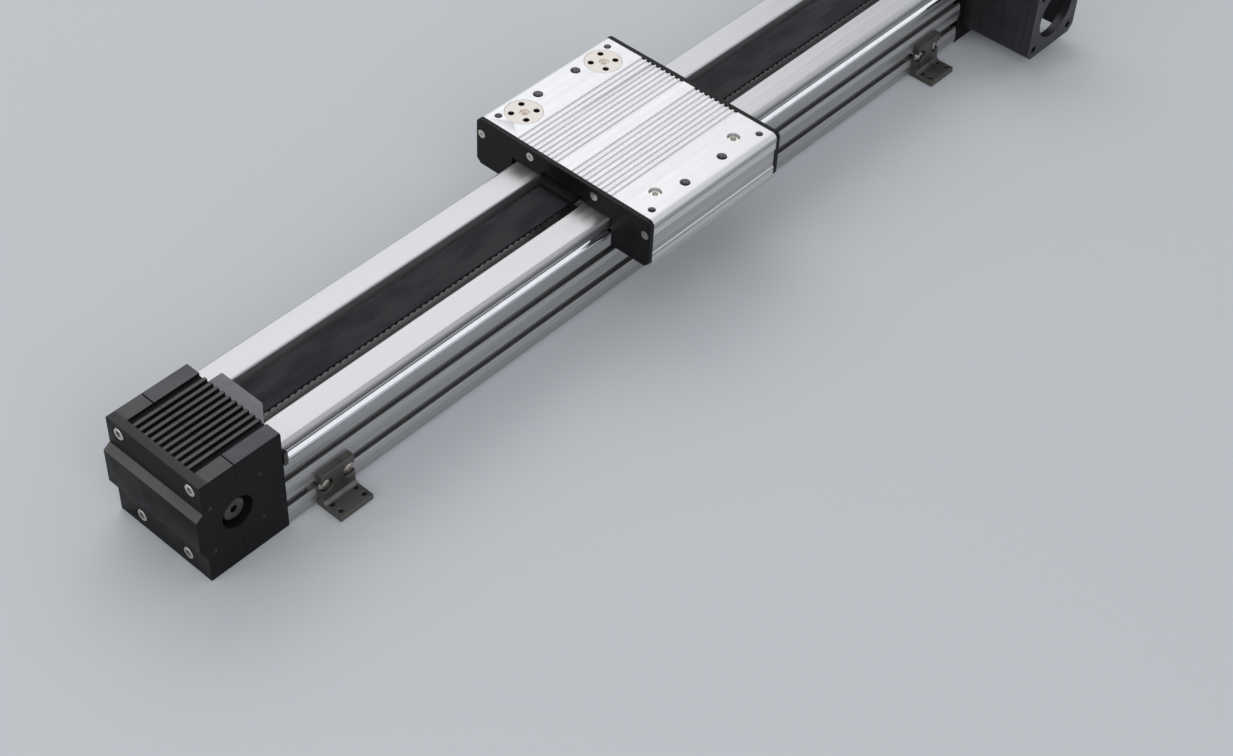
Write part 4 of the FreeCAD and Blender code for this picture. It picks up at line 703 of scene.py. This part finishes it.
def roundedCopy(nodeName, width):
    source = frame["nodes"][nodeName]
    mesh = source.data.copy()
    mesh.name = "edged_" + nodeName
    bm = bmesh.new()
    bm.from_mesh(mesh)
    bmesh.ops.remove_doubles(bm, verts=bm.verts, dist=rounding["weld"])
    bmesh.ops.dissolve_limit(bm, angle_limit=math.radians(rounding["flatAngle"]), verts=bm.verts,
                             edges=bm.edges, use_dissolve_boundaries=False, delimit=set())
    bm.normal_update()
    bm.to_mesh(mesh)
    bm.free()
    mesh.polygons.foreach_set("use_smooth", [True] * len(mesh.polygons))
    mesh.set_sharp_from_angle(angle=math.radians(rounding["smoothAngle"]))
    made = bpy.data.objects.new("edged_" + nodeName, mesh)
    scene.collection.objects.link(made)
    bevel = made.modifiers.new("edge rounding", "BEVEL")
    bevel.width = width
    bevel.segments = rounding["segments"]
    bevel.limit_method = "ANGLE"
    bevel.angle_limit = math.radians(rounding["bevelAngle"])
    bevel.use_clamp_overlap = False
    bevel.harden_normals = True
    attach(made, bodyOf[nodeName])
    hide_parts(nodeName)
    return made


def paintFacets(made, finish, test):
    # The faces of a rounded copy that pass the test get another finish
    made.data.materials.append(finish)
    index = len(made.data.materials) - 1
    for face in made.data.polygons:
        if test(face.center, face.normal):
            face.material_index = index


def within(number, span):
    return span[0] < number < span[1]


housingFacets = {"stripSide": 0.0286, "stripHeight": 0.0765, "topSlope": 0.9,
                 "ledgeHeights": (0.0528, 0.0567), "ledgeSlopes": (0.7, 0.99)}


def isHousingTop(centre, normal):
    return normal.z > housingFacets["topSlope"] and centre.z > housingFacets["stripHeight"]


def isStrip(centre, normal):
    return isHousingTop(centre, normal) and abs(centre.y) > housingFacets["stripSide"]


def isRib(centre, normal):
    return isHousingTop(centre, normal) and abs(centre.y) < housingFacets["stripSide"]


def isLedge(centre, normal):
    high = within(centre.z, housingFacets["ledgeHeights"])
    return high and within(normal.z, housingFacets["ledgeSlopes"])


beamFacets = {"flankFace": 0.0386, "flankSlopes": (0.02, 0.6), "hollowDepths": (0.031, 0.0392),
              "slots": (0.017, 0.038), "reach": 0.0062}


def isFlank(centre, normal):
    return abs(centre.y) > beamFacets["flankFace"] and within(abs(normal.z), beamFacets["flankSlopes"])


def isHollow(centre, normal):
    beside = min(abs(centre.z - height) for height in beamFacets["slots"])
    return within(abs(centre.y), beamFacets["hollowDepths"]) and beside < beamFacets["reach"]


carriageFacets = {"face": 0.0735, "faceSlope": 0.9, "grooveSide": 0.055, "grooveLow": 0.0822,
                  "grooveSlope": 0.5}


def isSide(centre, normal):
    return abs(centre.y) > carriageFacets["face"] and abs(normal.y) > carriageFacets["faceSlope"]


def isGrooveWall(centre, normal):
    inside = abs(centre.y) < carriageFacets["grooveSide"] and centre.z > carriageFacets["grooveLow"]
    return inside and abs(normal.y) > carriageFacets["grooveSlope"]


for nodeName, width in softEdges.items():
    made = roundedCopy(nodeName, width)
    if nodeName == "carriage_body":
        # The carriage's sides get the darker copy of its metal: painted shade
        paintFacets(made, finishes["side"], isSide)
        # The grooves' walls are painted pale: painted light in place of their shade
        paintFacets(made, finishes["grooveWallPaintedLight"], isGrooveWall)
    if nodeName == "profile_extrusion":
        # The slots' flanks and hollows get shaded copies of the beam's metal: painted shade
        paintFacets(made, finishes["flank"], isFlank)
        paintFacets(made, finishes["hollow"], isHollow)
    if "housing" in nodeName:
        # The housing's upward strips and ledges are painted lighter: painted light and painted highlight
        paintFacets(made, finishes["strip"], isStrip)
        # The ribs' tops are painted lighter as painted light, their front border darker as painted shade
        paintFacets(made, finishes["rib"], isRib)
        paintFacets(made, finishes["ledge"], isLedge)
print("stage: edges rounded")


# Cut threads in the tapped holes

addedSmoothAngle = 40


def joinBmesh(name, bm, material, body):
    mesh = bpy.data.meshes.new(name)
    bm.to_mesh(mesh)
    bm.free()
    mesh.polygons.foreach_set("use_smooth", [True] * len(mesh.polygons))
    mesh.set_sharp_from_angle(angle=math.radians(addedSmoothAngle))
    mesh.materials.append(material)
    made = bpy.data.objects.new(name, mesh)
    scene.collection.objects.link(made)
    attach(made, body)


def addSpun(bm, outline, place, axis, steps):
    # One closed ring: an outline of radius and height, spun about its axis
    turn = Vector((0, 0, 1)).rotation_difference(Vector(axis)).to_matrix().to_4x4()
    corners = [bm.verts.new((radius, 0, height)) for radius, height in outline]
    edges = [bm.edges.new((corners[k], corners[(k + 1) % len(corners)])) for k in range(len(corners))]
    made = bmesh.ops.spin(bm, geom=corners + edges, cent=(0, 0, 0), axis=(0, 0, 1), angle=math.tau,
                          steps=steps, use_merge=True)
    fresh = set(corners)
    for item in made["geom_last"]:
        if isinstance(item, bmesh.types.BMVert):
            fresh.add(item)
    grown = True
    while grown:
        grown = False
        for vert in list(fresh):
            for edge in vert.link_edges:
                other = edge.other_vert(vert)
                if other not in fresh:
                    fresh.add(other)
                    grown = True
    bmesh.ops.transform(bm, matrix=Matrix.Translation(place) @ turn, verts=list(fresh))
    faces = {face for vert in fresh for face in vert.link_faces}
    bmesh.ops.recalc_face_normals(bm, faces=list(faces))


threadSleeve = {"clear": 0.00002, "rootClear": 0.00004, "crestAt": 0.35, "rootAt": 0.85, "behind": 0.0003,
                "steps": 28}


def threadOutline(wall, pitch, depth, length, start):
    # Saw-toothed sleeve lying on the hole's wall, from its mouth down
    turns = int(length / pitch)
    points = [(wall - threadSleeve["clear"], start)]
    for k in range(turns):
        points.append((wall - depth, start - (k + threadSleeve["crestAt"]) * pitch))
        points.append((wall - threadSleeve["rootClear"], start - (k + threadSleeve["rootAt"]) * pitch))
    points.append((wall - threadSleeve["clear"], start - turns * pitch))
    points.append((wall + threadSleeve["behind"], start - turns * pitch))
    points.append((wall + threadSleeve["behind"], start))
    return points


sideThread = {"body": "frame", "wall": 0.0021, "pitch": 0.0008, "depth": 0.0003, "length": 0.009,
              "across": (0.036, 0, 0.036), "lead": 0.0005, "finish": "seal"}
# The carriage's thread sleeves are far darker than its metal: painted shade in the holes
topThread = {"body": "carriage", "length": 0.0115, "centre": (0.005, 0, 0.0834), "axis": (0, 0, 1),
             "finish": "thread"}
tappedHoles = {
    "carriageOuterThreads": {**topThread, "wall": 0.0025, "pitch": 0.001, "depth": 0.00035,
                             "across": (0.105, 0.132, 0), "lead": 0.0006},
    "carriageInnerThreads": {**topThread, "wall": 0.0034, "pitch": 0.00125, "depth": 0.00045,
                             "across": (0.036, 0.127, 0), "lead": 0.0007},
    "idlerNearThreads": {**sideThread, "centre": (-0.365, -0.04, 0.04), "axis": (0, -1, 0)},
    "idlerFarThreads": {**sideThread, "centre": (-0.365, 0.04, 0.04), "axis": (0, 1, 0)},
    "driveFarThreads": {**sideThread, "centre": (0.365, 0.04, 0.04), "axis": (0, 1, 0)},
}


def addThreads(name, hole):
    bm = bmesh.new()
    axis = Vector(hole["axis"])
    across = Vector(hole["across"])
    outline = threadOutline(hole["wall"], hole["pitch"], hole["depth"], hole["length"], -hole["lead"])
    first, second = [k for k in range(3) if across[k] > 0]
    for a in (-0.5, 0.5):
        for b in (-0.5, 0.5):
            place = Vector(hole["centre"])
            place[first] += a * across[first]
            place[second] += b * across[second]
            addSpun(bm, outline, place, axis, threadSleeve["steps"])
    joinBmesh(name, bm, finishes[hole["finish"]], hole["body"])


for holeName, holeValues in tappedHoles.items():
    addThreads(holeName, holeValues)
print("stage: threads cut")


# Dark sleeves in the discs' pin holes: painted shade

pinHoles = {"radius": 0.0022, "ring": 0.0084, "angle": 54.5, "count": 4, "top": 0.0834, "depth": 0.0038,
            "lead": 0.0003, "rim": 0.00012, "foot": 0.0002, "eye": 0.0004, "floor": 0.00015,
            "footClear": 0.00004, "clear": 0.00002, "steps": 24}


def addPinHoleShade(discName):
    low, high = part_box(discName)
    middle = (low + high) / 2
    wall, mouth, bottom = pinHoles["radius"], -pinHoles["lead"], -pinHoles["depth"]
    under = bottom - pinHoles["floor"]
    outline = [(wall - pinHoles["rim"], mouth), (wall - pinHoles["foot"], bottom),
               (pinHoles["eye"], bottom), (pinHoles["eye"], under),
               (wall - pinHoles["footClear"], under), (wall - pinHoles["clear"], mouth)]
    bm = bmesh.new()
    for k in range(pinHoles["count"]):
        angle = math.radians(pinHoles["angle"] + k * 360 / pinHoles["count"])
        place = (middle.x + pinHoles["ring"] * math.cos(angle),
                 middle.y + pinHoles["ring"] * math.sin(angle), pinHoles["top"])
        addSpun(bm, outline, place, (0, 0, 1), pinHoles["steps"])
    # A near-black sleeve in each pin hole: painted shade
    joinBmesh("pinHoleShade_" + discName, bm, finishes["seal"], bodyOf[discName])


for discName in ("far_eccentric_front", "far_eccentric_rear"):
    addPinHoleShade(discName)
print("stage: pin holes lined")


# Seals in the rollers' faces

sealRing = {"inner": 0.0068, "outer": 0.0103, "sunk": 0.0003, "thickness": 0.0004, "lip": 0.0008,
            "edge": 0.0001, "dip": 0.00018, "steps": 48}


def addRollerSeals(rollerName):
    low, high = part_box(rollerName)
    middle = (low + high) / 2
    bm = bmesh.new()
    for side in (1, -1):
        face = high.z - middle.z - sealRing["sunk"]
        outline = [
            (sealRing["inner"], face - sealRing["thickness"]),
            (sealRing["inner"], face - sealRing["edge"]),
            (sealRing["inner"] + sealRing["lip"], face),
            ((sealRing["inner"] + sealRing["outer"]) / 2, face - sealRing["dip"]),
            (sealRing["outer"] - sealRing["lip"], face),
            (sealRing["outer"], face - sealRing["edge"]),
            (sealRing["outer"], face - sealRing["thickness"]),
        ]
        addSpun(bm, outline, middle, (0, 0, side), sealRing["steps"])
    joinBmesh("seals_" + rollerName, bm, finishes["seal"], bodyOf[rollerName])


for rollerName in ("roller_near_front", "roller_near_rear", "roller_far_front", "roller_far_rear"):
    addRollerSeals(rollerName)
print("stage: roller seals set")

print("stage: done")
